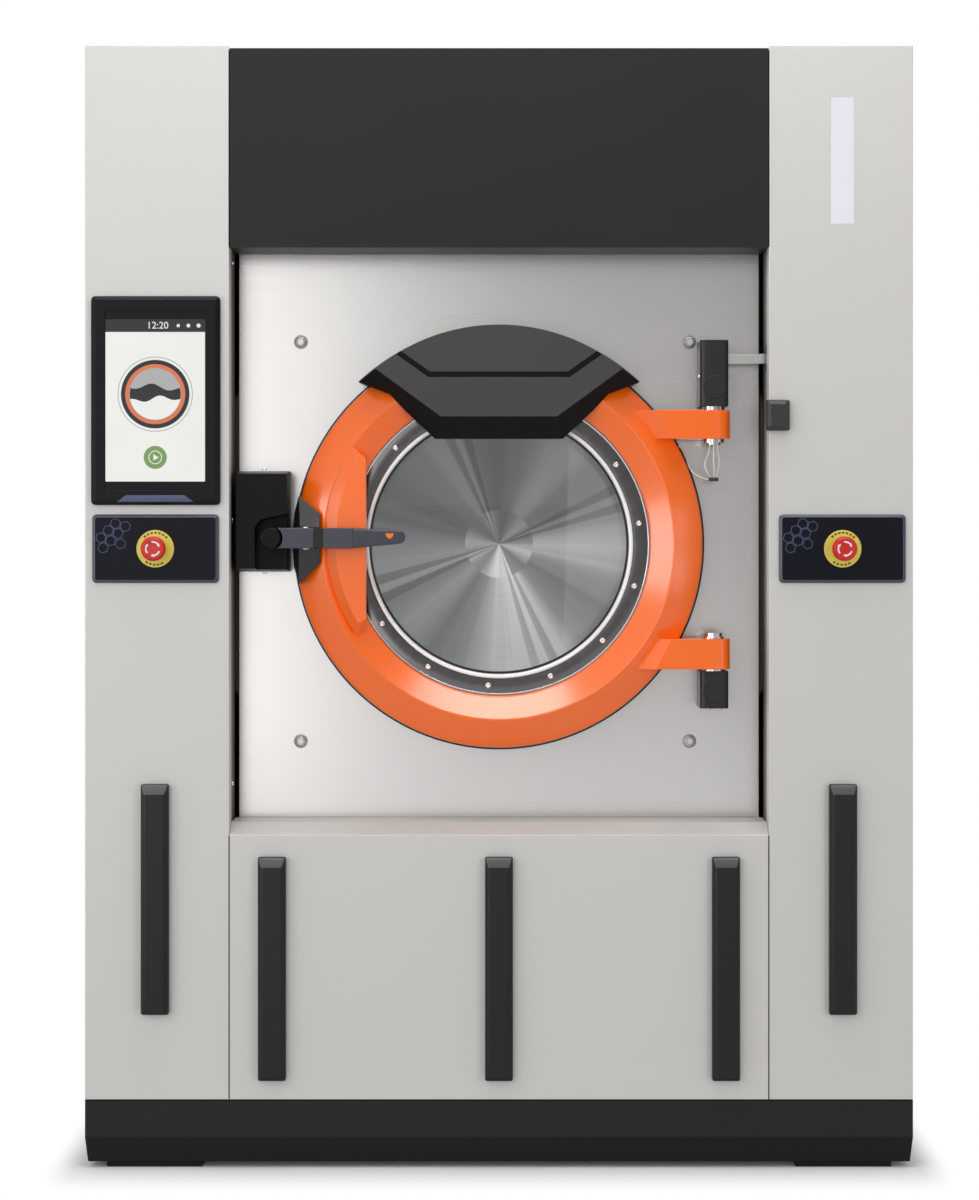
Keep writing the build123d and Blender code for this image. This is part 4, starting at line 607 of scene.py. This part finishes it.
# The emergency stops: a black plate with a bevelled frame and a pale honeycomb, a yellow legend disc
# and a red mushroom head with three arrows that show which way it turns to reset.
def turned(name, profile, material, body, centre=(0.0, door_z), steps=160, axis=1, **facts):
    """A closed (radius, along) outline swept round a line through centre that runs along one axis."""
    r, along = np.asarray(profile, float).T[..., None]
    angle = np.linspace(0, 2 * np.pi, steps, endpoint=False)
    points = [centre[0] + r * np.cos(angle), centre[1] + r * np.sin(angle)]
    points.insert(axis, np.broadcast_to(along, (len(r), steps)))
    return build(name, np.stack(points, 2), grid_faces(len(r), steps, closed=True), material, body, **facts)


def capped(corners, radius, steps):
    """A softened outline whose first and last corners stay sharp, on the axis of the turned piece."""
    profile = softened(corners, radius, steps)
    profile[:steps], profile[-steps:] = corners[0], corners[-1]
    return profile


def honeycomb(x, z):
    """Eight hexagon outlines: each is a ring of six flat bars between two radii."""
    cells = mm * np.array([(-64.711, 40.913), (-48.737, 36.186), (-76.447, 29.666), (-60.473, 24.776),
                           (-88.509, 17.930), (-72.861, 13.203), (-56.724, 7.987), (-84.923, 1.467)])
    lean, outer, inner, front_y, thick = 17.0, 0.0092, 0.0080, -0.6584, 0.0005
    angle = np.radians(np.arange(6) * 60.0 + lean)
    rim = np.stack([np.cos(angle), np.sin(angle)], 1)
    flat = cells[:, None, None, :] + np.stack([rim * outer, rim * inner])[None] + (x, z)
    front = np.stack([flat[..., 0], np.full(flat.shape[:3], front_y), flat[..., 1]], 3)
    back = front + (0.0, thick, 0.0)
    points = np.stack([front[:, 0], front[:, 1], back[:, 1], back[:, 0]], 1)
    one = grid_faces(4, 6, closed=True)
    return points, (one[None] + 24 * np.arange(len(cells))[:, None, None]).reshape(-1, 4)


def turn_arrow(x, z, start):
    """A curved arrow: an arc that ends in a head twice as wide."""
    inner, outer, sweep, head_sweep, barb = 0.0098, 0.0124, 62.0, 26.0, 0.0014
    angle = np.radians(np.linspace(start, start - sweep, 14))
    rim = np.stack([np.cos(angle), np.sin(angle)], 1)
    middle, tip = (inner + outer) / 2, math.radians(start - sweep - head_sweep)
    head = np.array([rim[-1] * (outer + barb), (math.cos(tip) * middle, math.sin(tip) * middle),
                     rim[-1] * (inner - barb)])
    return np.concatenate([rim * outer, head, rim[::-1] * inner]) + (x, z)


plate_black = coated("plate_black", (0.0065, 0.0070, 0.0125), 0.36, depth=0.1, bump=0.03, specular=0.10)
frame_slate = coated("frame_slate", (0.055, 0.055, 0.085), 0.35, bump=0.03, specular=0.4)
comb_blue = coated("comb_blue", (0.075, 0.095, 0.18), 0.45, bump=0.02, specular=0.3)
legend_yellow = coated("legend_yellow", (0.76, 0.62, 0.08), 0.42, bump=0.03)
stop_red = coated("stop_red", (0.60, 0.016, 0.014), 0.32, bump=0.03, coat=0.15, specular=0.3)
arrow_white = coated("arrow_white", (0.82, 0.80, 0.78), 0.5, bump=0.02)
mark_dark = coated("mark_dark", (0.10, 0.08, 0.02), 0.5, bump=0.02)
stop_x, stop_z = 0.5595, 1.0098
collar = softened([(0.0076, -0.6595), (0.0305, -0.6595), (0.0305, -0.6578), (0.0111, -0.6578),
                   (0.0111, -0.616), (0.0076, -0.616)], 0.0005, 4)
mushroom = capped([(0.0, -0.6948), (0.0085, -0.6948), (0.0125, -0.6955), (0.0165, -0.6960),
                   (0.0200, -0.6915), (0.0200, -0.6815), (0.0185, -0.680), (0.012, -0.680), (0.012, -0.671),
                   (0.00504, -0.671), (0.00504, -0.688), (0.0, -0.688)], 0.0014, 5)
for label, x in (("left", -stop_x), ("right", stop_x)):
    pressed(label + "_stop_frame", box_corners(x, stop_z, 0.206, 0.1115),
            [(0.0, -0.650), (0.0, -0.6545), (0.0007, -0.6553), (0.0036, -0.6578), (0.0044, -0.658)],
            frame_slate, "cabinet", radius=0.008, slot="control_black",
            replaces=("stop_plates", "stop_collars") if label == "left" else ())
    pressed(label + "_stop_plate", box_corners(x, stop_z, 0.1962, 0.1017), [(0.0, -0.6575), (0.0, -0.6581)],
            plate_black, "cabinet", radius=0.005)
    build(label + "_stop_comb", *honeycomb(x, stop_z), comb_blue, "cabinet")
    turned(label + "_stop_legend", collar, legend_yellow, "cabinet", centre=(x, stop_z), steps=72)
    for step, start in enumerate((42, 56, 70, 84, 98, 112, 126, 234, 248, 262, 276, 290)):
        mark = annulus(x, stop_z, 0.0245, 0.0278, start, 9.0, 6)
        flat_shape("%s_legend_mark_%d" % (label, step), mark, -0.6595, mark_dark, "cabinet", lift=0.0002)
    button = label + "_stop_button"
    turned(label + "_stop_mushroom", mushroom, stop_red, button, centre=(x, stop_z), steps=72,
           replaces=(label + "_stop_head",), slot="stop_red", crease=50.0)
    for step in range(3):
        arrow = turn_arrow(x, stop_z, 100.0 + 120.0 * step)
        flat_shape("%s_reset_arrow_%d" % (label, step), arrow, -0.6954, arrow_white, button, lift=0.0004)
dress(zinc, "left_stop_stem", "right_stop_stem")


# The seam strips and cheek screws: thin black strips in the joints between the columns and the sheets beside
# them and along the plinth's top edge, which darken those seams as a painted shadow, and three small domed
# screws in the left cheek.
def domed_screw(name, face, out, centre, axis, body, material):
    """A small domed head, turned on a face at that place along the axis; out is the way it looks."""
    dome = np.array([(0.0, 0.0), (0.0042, 0.0), (0.0042, 0.0008), (0.0034, 0.0020), (0.0018, 0.0027),
                     (0.0, 0.0029)])
    turned(name, dome * (1, out) + (0, face), material, body, centre=centre, steps=24, axis=axis)


# The strips are a dark fill in the seams: painted shadow.
seam_shade_black = coated("seam_shade_black", (0.006, 0.006, 0.006), 0.8, grain=1500.0, bump=0.2, specular=0.1)
strips = [(side + part, x, z, 0.0020, height, -0.6500)
          for part, z, height in (("_panel", 0.3275, 0.4300), ("_fascia", 1.6625, 0.3210))
          for side, x in (("left", -0.440), ("right", 0.440))]
for label, x, z, width, height, face in strips + [("plinth", 0.0, 0.1110, 1.3490, 0.0022, -0.6502)]:
    pressed(label + "_seal", box_corners(x, z, width, height),
            [(0.0, -0.6460), (0.0, face), (0.0003, face - 0.0003)], seam_shade_black, "cabinet", radius=0.0004,
            steps=3)
cheek_bolt = steel("cheek_bolt", (0.60, 0.60, 0.60), (50.0, 50.0, 50.0), roughness=0.2)
for step, z in enumerate((1.482, 1.056, 0.622)):
    domed_screw("cheek_screw_%d" % step, -0.4400, 1, (-0.590, z), 0, "cabinet", cheek_bolt)


# The status lamp: a tall milky plastic diffuser let into the right column, clipped in from behind and
# faintly lit there.
lamp_milk = lit("lamp_milk", (0.76, 0.745, 0.81), 0.66)
dress(lamp_milk, "status_light")


# The cart bumpers and the door stop: black moulded strips with a long slope at the top, bolted on from
# behind.
def bevelled(piece, width, segments, limit):
    """A narrow bevel along every edge that turns more than limit."""
    bevel = piece.modifiers.new("edges", "BEVEL")
    bevel.width, bevel.segments = width, segments
    bevel.limit_method, bevel.angle_limit = "ANGLE", math.radians(limit)
    return bevel


def eased(node, material, body, width, segments=3, limit=28.0, other=None, where=None):
    """A copy of a CAD node, welded, its triangles merged back into flat faces, with a narrow bevel along
    every edge. The finish other goes on the faces that where(centres, normals) picks."""
    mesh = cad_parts[node].data.copy()
    welded(mesh, limit, lambda work: bmesh.ops.dissolve_limit(work, angle_limit=math.radians(1.0),
                                                              verts=work.verts, edges=work.edges))
    mesh.materials.clear()
    mesh.materials.append(material)
    if other:
        mesh.materials.append(other)
        centres, normals = np.empty((2, len(mesh.polygons), 3))
        mesh.polygons.foreach_get("center", centres.ravel())
        mesh.polygons.foreach_get("normal", normals.ravel())
        mesh.polygons.foreach_set("material_index", where(centres, normals).astype(int))
    piece = add_object(node + "_eased", mesh)
    bevelled(piece, width, segments, limit).harden_normals = True
    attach(piece, body)
    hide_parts(node)


bumper_black = coated("bumper_black", (0.0145, 0.0145, 0.0150), 0.42, grain=500.0, bump=0.10, painted_light=2.0,
                      specular=0.18, edge=0.0015)
# The top slope takes a lighter copy of the black: a painted highlight for the light from above.
bumper_lit_top = coated("bumper_lit_top", (0.060, 0.060, 0.064), 0.38, grain=500.0, bump=0.10, painted_light=0.5)
stop_rubber = coated("stop_rubber", (0.022, 0.022, 0.023), 0.42, grain=500.0, bump=0.10, painted_light=0.6,
                     specular=0.4)
eased("cart_bumpers", bumper_black, "cabinet", width=0.0032, segments=2, other=bumper_lit_top,
      where=lambda centres, normals: (normals[:, 2] > 0.3) & (normals[:, 1] < -0.3))
eased("door_stop", stop_rubber, "cabinet", width=0.0030)


# The front plate: stainless sheet brushed across, on four cap-head bolts in cup washers, with the tub,
# the sump and the black gasket behind it.
plate_steel = steel("plate_steel", (0.62, 0.605, 0.59), (9.0, 1400.0, 1400.0), roughness=0.24, depth=0.05,
                    bump=0.003, metallic=0.9)
tub_steel = steel("tub_steel", (0.10, 0.095, 0.09), (300.0, 8.0, 300.0), roughness=0.55, metallic=0.5)
gasket_rubber = coated("gasket_rubber", (0.014, 0.014, 0.015), 0.55, grain=400.0, bump=0.2)
bolt_steel = steel("bolt_steel", (0.34, 0.33, 0.33), (90.0, 90.0, 90.0), roughness=0.36, depth=0.3)
socket_dark = coated("socket_dark", (0.03, 0.03, 0.03), 0.6)
dress(plate_steel, "front_plate")
dress(tub_steel, "outer_tub", "drain_sump")
dress(gasket_rubber, "door_gasket")
bolt_profile = capped([(0.0, -0.5318), (0.0040, -0.5318), (0.0044, -0.5331), (0.0066, -0.5331),
                       (0.0072, -0.5322), (0.0074, -0.5256), (0.0084, -0.5256), (0.0090, -0.5276),
                       (0.0106, -0.5276), (0.0115, -0.5262), (0.0115, -0.5250), (0.0, -0.5250)], 0.0004, 4)
for step, (x, rise) in enumerate(((-0.331, 0.338), (0.318, 0.338), (-0.331, -0.329), (0.318, -0.329))):
    turned("plate_bolt_%d" % step, bolt_profile, bolt_steel, "tub_unit", centre=(x, door_z + rise), steps=40)
    flat_shape("plate_socket_%d" % step, circle(x, door_z + rise, 0.0040, 6, 20.0), -0.5317, socket_dark,
               "tub_unit", lift=0.0002)
dress(zinc, "plate_bolts")


# The door: a black backing rim, the orange ring pressed to a roof-shaped ridge, a polished retainer
# with fourteen screws, a bright bezel and the dished glass.
ring_orange = coated("ring_orange", (1.0, 0.15, 0.001), 0.36, grain=1200.0, depth=0.06, bump=0.02, coat=1.0,
                     edge=0.0015, painted_light=0.4, specular=0.2, sheet=0.18)
rim_black = coated("rim_black", (0.011, 0.011, 0.012), 0.42, specular=0.3)
bright_steel = steel("bright_steel", (0.66, 0.66, 0.66), (50.0, 50.0, 50.0), roughness=0.16)
bezel_steel = steel("bezel_steel", (0.86, 0.86, 0.86), (50.0, 50.0, 50.0), roughness=0.36, metallic=0.3)
dark_steel = steel("dark_steel", (0.14, 0.135, 0.135), (70.0, 70.0, 70.0), roughness=0.16, depth=0.4)
turned("door_backing", softened([(0.212, -0.5333), (0.336, -0.5333), (0.341, -0.5383), (0.341, -0.556),
                                 (0.224, -0.556), (0.224, -0.552), (0.212, -0.552)], 0.0008, 4),
       rim_black, "door", steps=200, replaces=("door_rim",), slot="plinth_black")
# The ring's section: a plain wall, a rounded edge, a straight slope up to the crisp ridge at radius
# 289 mm, a straight fall to the inner edge, and the wall of the opening. Points near the ends of each
# slope keep it flat.
ring_section = [(0.338, -0.556), (0.3362, -0.5805), (0.3356, -0.5826), (0.3340, -0.5844),
                (0.33227, -0.58551), (0.29253, -0.61109), (0.2908, -0.6122), (0.2895, -0.6128),
                (0.2880, -0.6126), (0.28655, -0.61183), (0.25325, -0.59417), (0.2518, -0.5934),
                (0.2504, -0.5922), (0.2500, -0.5905), (0.250, -0.556)]
turned("orange_ring", ring_section, ring_orange, "door", steps=240, replaces=("door_ring",),
       slot="door_orange", crease=24.0)
turned("retainer", softened([(0.2222, -0.556), (0.2222, -0.577), (0.2230, -0.578), (0.2496, -0.578),
                             (0.2499, -0.5775), (0.2499, -0.556)], 0.0003, 3),
       dark_steel, "door", steps=200, replaces=("door_retainer",), slot="polished_steel")
turned("retainer_line", softened([(0.2462, -0.578), (0.2466, -0.5790), (0.2492, -0.5790), (0.2497, -0.578)],
                                 0.0003, 3), bright_steel, "door", steps=200)
turned("bezel", softened([(0.215, -0.560), (0.215, -0.580), (0.2170, -0.582), (0.2206, -0.582),
                          (0.2219, -0.5808), (0.2219, -0.560)], 0.0008, 4), bezel_steel, "door", steps=200)


def ring_of_screws():
    """Fourteen copies of one turned screw, set round the retainer."""
    number, first, ring, around = 14, 8.5, 0.234, 20
    r, y = capped([(0.0, -0.5832), (0.0014, -0.5832), (0.0020, -0.5840), (0.0034, -0.5840),
                   (0.0050, -0.5822), (0.0055, -0.5800), (0.0055, -0.578), (0.0, -0.578)],
                  0.0006, 3).T[..., None]
    angle = np.linspace(0, 2 * np.pi, around, endpoint=False)
    one = np.stack([r * np.cos(angle), np.broadcast_to(y, (len(r), around)), r * np.sin(angle)], 2)
    place = np.radians(first + np.arange(number) * 360 / number)
    centre = np.stack([ring * np.cos(place), 0 * place, door_z + ring * np.sin(place)], 1)
    faces = grid_faces(len(r), around, closed=True)
    every = (faces[None] + one[..., 0].size * np.arange(number)[:, None, None]).reshape(-1, 4)
    build("door_screws", one[None] + centre[:, None, None], every, bright_steel, "door",
          replaces=("retainer_screws",), slot="polished_steel")


def door_glass():
    """A pane of even thickness: flat at the rim and dished inwards by a parabola from its edge."""
    dish_radius, dish_depth, front_y, back_y, rim = 0.205, 0.015, -0.560, -0.552, 0.2213
    r = np.linspace(0.0, dish_radius, 40)
    sag = dish_depth * (1 - (r / dish_radius) ** 2)
    profile = np.concatenate([np.stack([r, front_y + sag], 1), [(rim, front_y), (rim, back_y)],
                              np.stack([r, back_y + sag], 1)[::-1]])
    material, tree, place = blank_material("door_pane")
    smear = mapped(tree, noise(tree, place, 5.0, 4.0), 0.0, 1.0, 0.0, 0.03)
    shine = make_node(tree, "BsdfPrincipled", {"Base Color": (0.97, 0.985, 0.985, 1.0), "Roughness": smear,
                                               "IOR": 1.45, "Transmission Weight": 1.0})
    clear = make_node(tree, "BsdfTransparent", {"Color": (0.93, 0.95, 0.95, 1.0)})
    shadow = make_node(tree, "LightPath").outputs["Is Shadow Ray"]
    pane = make_node(tree, "MixShader", {0: shadow, 1: shine, 2: clear})
    make_node(tree, "OutputMaterial", {"Surface": pane})
    turned("glass_pane", profile, material, "door", replaces=("door_glass",), slot="door_glass",
           crease=60.0)


ring_of_screws()
door_glass()


# The cap over the top of the door: one black moulding, screwed to the ring from behind, with a wide
# bevelled skirt and a groove round its flat face.
cap_satin = coated("cap_satin", (0.034, 0.034, 0.039), 0.42, grain=700.0, bump=0.06, painted_light=0.3, specular=0.4)
# A darker copy of the cap's black for the bevelled skirt and the faces inside the groove: painted shade.
cap_shaded_black = coated("cap_shaded_black", (0.0085, 0.0085, 0.0088), 0.45, grain=700.0, bump=0.05, painted_light=1.2,
                   specular=0.07)
groove_y = -0.6405
eased("door_cap", cap_satin, "door", width=0.0016, limit=14.0, other=cap_shaded_black,
      where=lambda centres, normals: (normals[:, 1] > -0.93) | (centres[:, 1] > groove_y))


# The pull plate, the latch bracket and the lever: an orange painted casting, a black bracket wrapped
# over the ring's edge, and a slate lever forked round the bracket's lug on a bright steel pin.
def wrapped_bracket(material):
    """Flat facets between named corners: a ridge beside the lever, from which the faces fall away to the
    corners at the top and foot and round the ring's edge; the back is the same outline, set deeper."""
    back_y, rim = -0.580, 10
    corners = np.array([(-0.3377, -0.5900, 1.0683), (-0.3295, -0.6110, 1.0961), (-0.2935, -0.6130, 1.0666),
                        (-0.2945, -0.6210, 1.0440), (-0.2945, -0.6210, 1.0090), (-0.2935, -0.6130, 0.9863),
                        (-0.3289, -0.6110, 0.9519), (-0.3385, -0.5900, 0.9800), (-0.3404, -0.5900, 1.0090),
                        (-0.3400, -0.5900, 1.0453), (-0.3263, -0.6205, 1.0453), (-0.3131, -0.6225, 1.0460),
                        (-0.3131, -0.6225, 1.0080), (-0.3280, -0.6205, 1.0085)])
    edge, after = np.arange(rim), (np.arange(rim) + 1) % rim
    back = edge + len(corners)
    faces = [(0, 1, 10, 9), (1, 2, 11, 10), (2, 3, 11), (9, 10, 13, 8), (10, 11, 12, 13), (3, 4, 12, 11),
             (4, 5, 12), (5, 6, 13, 12), (6, 7, 8, 13), tuple(back)]
    faces += np.stack([edge, after, back[after], back], 1).tolist()
    points = np.concatenate([corners, corners[:rim] * (1, 0, 1) + (0, back_y, 0)])
    piece = build("bracket_wrap", points, faces, material, "door", replaces=("latch_bracket",),
                  slot="black_plastic", crease=8.0)
    bevelled(piece, 0.0007, 2, 6.0)


def lever_grip(material):
    """Rounded rectangles along X: height, depth and middle run straight from the waist to the tip, and
    the last 11 mm close by a quarter ellipse."""
    waist, shoulder, nose, around, squareness = -0.2382, -0.1636, 0.0110, 48, 0.28
    taper_from, taper_length, nose_axis, closed = -0.2386, 0.086, 0.01105, 0.92
    height, height_lost, depth, depth_lost, rise = 0.0335, 0.0130, 0.0240, 0.0085, 0.0019
    x = np.concatenate([np.linspace(waist, shoulder, 24),
                        shoulder + nose * np.sin(np.linspace(0, np.pi / 2, 14))])
    t = np.clip((x - taper_from) / taper_length, 0, 1)
    ellipse = np.sqrt(np.clip(1 - (np.clip(x - shoulder, 0, None) / nose_axis) ** 2, 0, 1))
    half = (1 - (1 - ellipse) * closed) / 2
    tall, deep = (height - height_lost * t) * half, (depth - depth_lost * t) * half
    middle = lever_z + rise * t
    angle = np.linspace(0, 2 * np.pi, around, endpoint=False)
    across, up = (np.sign(a) * np.abs(a) ** squareness for a in (np.cos(angle), np.sin(angle)))
    points = np.stack([np.broadcast_to(x[:, None], (len(x), around)), lever_y + deep[:, None] * across,
                       middle[:, None] + tall[:, None] * up], 2)
    build("lever_handle", points, tube_faces(len(x), around), material, "latch", replaces=("lever_grip",),
          slot="slate_metal", crease=50.0)


lever_y, lever_z = -0.647, 1.027
slate = coated("slate_paint", (0.043, 0.045, 0.061), 0.36, bump=0.03, painted_light=1.6, specular=0.4)
link_black = coated("link_black", (0.006, 0.006, 0.007), 0.4, specular=0.3)
bracket_black = coated("bracket_black", (0.012, 0.012, 0.014), 0.36, grain=700.0, bump=0.05, painted_light=0.8,
                       specular=0.5)
mark_orange = coated("mark_orange", (0.93, 0.20, 0.03), 0.45, bump=0.02, specular=0.2)
eased("pull_plate", ring_orange, "door", width=0.0025, segments=4)
wrapped_bracket(bracket_black)
eased("latch_lever", slate, "latch", width=0.0010, other=link_black,
      where=lambda centres, normals: (centres[:, 0] > -0.3026) & (centres[:, 0] < -0.2857))
lever_grip(slate)
mark = softened([(-0.1862, 1.0348), (-0.1702, 1.0348), (-0.1756, 1.0262), (-0.1808, 1.0262)], 0.0034, 5)
flat_shape("grip_mark", mark, -0.6556, mark_orange, "latch", lift=0.0010)
pin_end = np.array([(0.0, 0.0), (0.0056, 0.0), (0.0056, 0.0010), (0.0042, 0.0019), (0.0, 0.0021)])
for label, z, up in (("top", 1.04375, 1), ("foot", 1.01025, -1)):
    turned("latch_pin_" + label, pin_end * (1, up) + (0, z), bright_steel, "door", centre=(-0.315, -0.646),
           steps=28, axis=2)


# The lock box: a black moulding on the front plate, with a sunk corner for the lever and a round boss,
# held by small domed screws at its top and foot.
lock_black = coated("lock_black", (0.0062, 0.0062, 0.0072), 0.40, grain=700.0, bump=0.06, painted_light=2.0,
                    specular=0.09)
eased("lock_box", lock_black, "tub_unit", width=0.0022)
for label, x, z, out in (("top", -0.3865, 1.139, 1), ("foot", -0.3850, 0.971, -1)):
    domed_screw("lock_screw_" + label, z, out, (x, -0.600), 2, "tub_unit", bright_steel)


# The hinges: black blocks screwed to the front plate, steel pins and washers through their bores, orange
# arms on the ring, and a steel conduit into the right cheek. The wires end in a black moulded tie.
block_black = coated("block_black", (0.0140, 0.0140, 0.0155), 0.40, grain=700.0, bump=0.06, painted_light=1.0,
                     specular=0.3)
conduit_steel = steel("conduit_steel", (0.66, 0.655, 0.65), (4.0, 300.0, 300.0), roughness=0.25)
sleeve = coated("wire_sleeve", (0.74, 0.73, 0.68), 0.35, grain=500.0)
tie_black = coated("tie_black", (0.012, 0.012, 0.012), 0.5)
eased("hinge_blocks", block_black, "tub_unit", width=0.0012, limit=35.0)
for label, x, out in (("left", 0.3305, -1), ("right", 0.3775, 1)):
    domed_screw("hinge_screw_" + label, x, out, (-0.5950, 1.293), 0, "tub_unit", bright_steel)
for label, x in (("left", 0.3445), ("right", 0.3635)):
    domed_screw("hinge_foot_screw_" + label, 0.747, -1, (x, -0.600), 2, "tub_unit", bright_steel)
eased("hinge_arms", ring_orange, "door", width=0.0012)
dress(bright_steel, "hinge_pins")
dress(conduit_steel, "sensor_conduit")
tie = pressed("wire_tie", box_corners(0.354, 1.124, 0.016, 0.006),
              [(0.0012, -0.5840), (0.0, -0.5850), (0.0, -0.5950), (0.0012, -0.5960)], tie_black, "door",
              radius=0.0022, steps=4)
for wire, start, length in hung_wires:
    wire.data.materials.append(sleeve)
    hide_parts("hinge_wires")


# The drum: stainless, with a rolled shell, three pressed lifters and a dished back that was spun and
# brushed in circles; the rays of light on it are a painted reflection in its colour, and a smaller disc at
# its middle covers the hub.
def painted_rays_group():
    """Painted reflection: seven soft rays of light round a centre, each a power of a cosine, with finer rays
    from a noise over the angle and a fine circular grain; the lower half and the outer part are painted
    lighter, and inside the hub disc the rays are turned. Four folds have a painted highlight on the crest
    and painted shade on the flanks."""
    group, given = make_group("painted_ray_reflections", ("Shade", "Roughness", "Height"), Position=(0.0, 0.0, 0.0),
                              Centre=(0.0, 0.0, door_z), Hub=0.063)

    hub_turn, hub_shift, sine_tilt, ray_floor = 0.21, 3.0, -0.10, 0.28
    folds, first_fold, painted_crest_highlight, painted_flank_shade = 4.0, 0.3665, 0.62, -0.36
    fine_depth, grain_depth, circles_per_metre, rim_gain, hub_level = 0.85, 0.22, 420.0, 1.1, 0.88

    def number(operation, *feeds):
        """One step of arithmetic in this group."""
        return maths(group, operation, *feeds)

    local = vectors(group, "SUBTRACT", given["Position"], given["Centre"])
    x, _, z = make_node(group, "SeparateXYZ", {0: local}).outputs
    radius = number("SQRT", number("ADD", number("MULTIPLY", x, x), number("MULTIPLY", z, z)))
    inside = number("LESS_THAN", radius, given["Hub"])
    angle_seen = number("ARCTAN2", z, x)
    angle = number("ADD", angle_seen, number("MULTIPLY", inside, hub_turn))
    # The rays are a painted reflection: lighter wedges of colour round the centre.
    rays = number("MULTIPLY_ADD", number("SINE", angle), sine_tilt, ray_floor)
    for heading, width, strength in ((-3, 22, 0.62), (55, 22, 0.24), (122, 36, 0.22), (190, 26, 0.34),
                                     (221, 55, 0.30), (280, 13, 0.95), (300, 120, 0.45)):
        toward = number("COSINE", number("SUBTRACT", angle, math.radians(heading)))
        rays = number("MULTIPLY_ADD", number("POWER", number("MAXIMUM", toward, 0.0), width), strength, rays)
    rim = make_node(group, "CombineXYZ", {0: number("COSINE", angle), 1: number("SINE", angle),
                                          2: number("MULTIPLY", inside, hub_shift)})
    fine = noise(group, rim, 5.5, 5.0, 0.6)
    circles = make_node(group, "CombineXYZ", {0: number("MULTIPLY", radius, circles_per_metre), 1: angle})
    grain = noise(group, circles, 1.0, 3.0)
    fold = number("COSINE", number("MULTIPLY", number("SUBTRACT", angle_seen, first_fold), folds))
    flank, crest = mapped(group, fold, 0.893, 0.912, 0.0, 1.0), mapped(group, fold, 0.985, 0.996, 0.0, 1.0)
    # A painted highlight on each fold's crest and painted shade on its flanks.
    folded = number("MULTIPLY_ADD", crest, painted_crest_highlight, number("MULTIPLY", flank, painted_flank_shade))
    streaks = number("MULTIPLY_ADD", number("SUBTRACT", fine, 0.5), fine_depth, 1.0)
    turning = number("MULTIPLY_ADD", number("SUBTRACT", grain, 0.5), grain_depth, streaks)
    outward = number("MULTIPLY_ADD", radius, rim_gain, hub_level)
    total = number("MULTIPLY", number("MULTIPLY", rays, turning),
                   number("MULTIPLY", outward, number("ADD", folded, 1.0)))
    put_out(group, Shade=mapped(group, total, 0.0, 1.4, 0.0, 1.4),
            Roughness=mapped(group, total, 0.0, 1.0, 0.42, 0.30), Height=grain)
    return group


def ray_painted_steel(name, colour, metallic):
    """Spun steel: the painted rays of reflected light shift its colour and roughness, and the circular grain
    raises a faint bump.
    """
    material, tree, place = blank_material(name)
    rays = make_node(tree, "Group", {"Position": place}, node_tree=painted_rays_group()).outputs
    relief = make_node(tree, "Bump", {"Height": rays["Height"], "Strength": 0.012, "Distance": 0.0005})
    face = make_node(tree, "BsdfPrincipled", {"Base Color": shaded(tree, colour, rays["Shade"]),
                                              "Metallic": metallic, "Roughness": rays["Roughness"],
                                              "Normal": relief})
    make_node(tree, "OutputMaterial", {"Surface": face})
    return material


ray_painted_back = ray_painted_steel("ray_painted_back", (0.62, 0.62, 0.625), 0.35)
drum_steel = steel("drum_steel", (0.60, 0.60, 0.605), (300.0, 8.0, 300.0), roughness=0.32, metallic=0.6)
dress(drum_steel, "drum_shell", "drum_lifters")
dress(ray_painted_back, "drum_back")
soft_lamp("drum_lamp", (0.0, -0.50, door_z), (0.0, 0.0, door_z), (0.36, 0.36), 2.2).visible_glossy = False


# The air springs: four double-lobed rubber bellows with steel end plates moulded in, bolted to the floor
# rails and to the tub's cradle, so that each one stretches and shortens with the tub.
def bellows(name, x, y, **facts):
    """Turned round an upright line: an end plate, two lobes that bulge from 58 to 78 mm, an end plate."""
    low, high, plate, plate_radius, waist, bulge = 0.1110, 0.3000, 0.0080, 0.066, 0.058, 0.078
    lobe = (high - low - 2 * plate) / 2
    outline = [(0.0, low), (plate_radius, low), (plate_radius, low + plate)]
    for base in (low + plate, low + plate + lobe):
        outline += [(waist, base), (bulge, base + lobe / 4), (bulge, base + 3 * lobe / 4)]
    outline += [(waist, high - plate), (plate_radius, high - plate), (plate_radius, high), (0.0, high)]
    profile = capped(outline, [0.0004] * 3 + [0.003, 0.020, 0.020] * 2 + [0.003] + [0.0004] * 3, 7)
    piece = turned(name, profile, bellows_rubber, None, centre=(x, y), steps=56, axis=2, **facts)
    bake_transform(piece, "cabinet", "tub_unit", start=(0.0, 0.0, low + plate), end=(0.0, 0.0, high - plate))


apart = 0.330
for label, x, y in (("left_front", -apart, -apart), ("right_front", apart, -apart),
                    ("left_rear", -apart, apart), ("right_rear", apart, apart)):
    bellows(label + "_bellows", x, y, slot="black_rubber",
            replaces=("air_springs",) if label == "left_front" else ())


# The services at the rear: three inlet valves moulded in black plastic, clamped in the rear panel, with
# a threaded stub for each hose.
valve_black = coated("valve_black", (0.02, 0.02, 0.022), 0.5)
dress(valve_black, "water_valves")
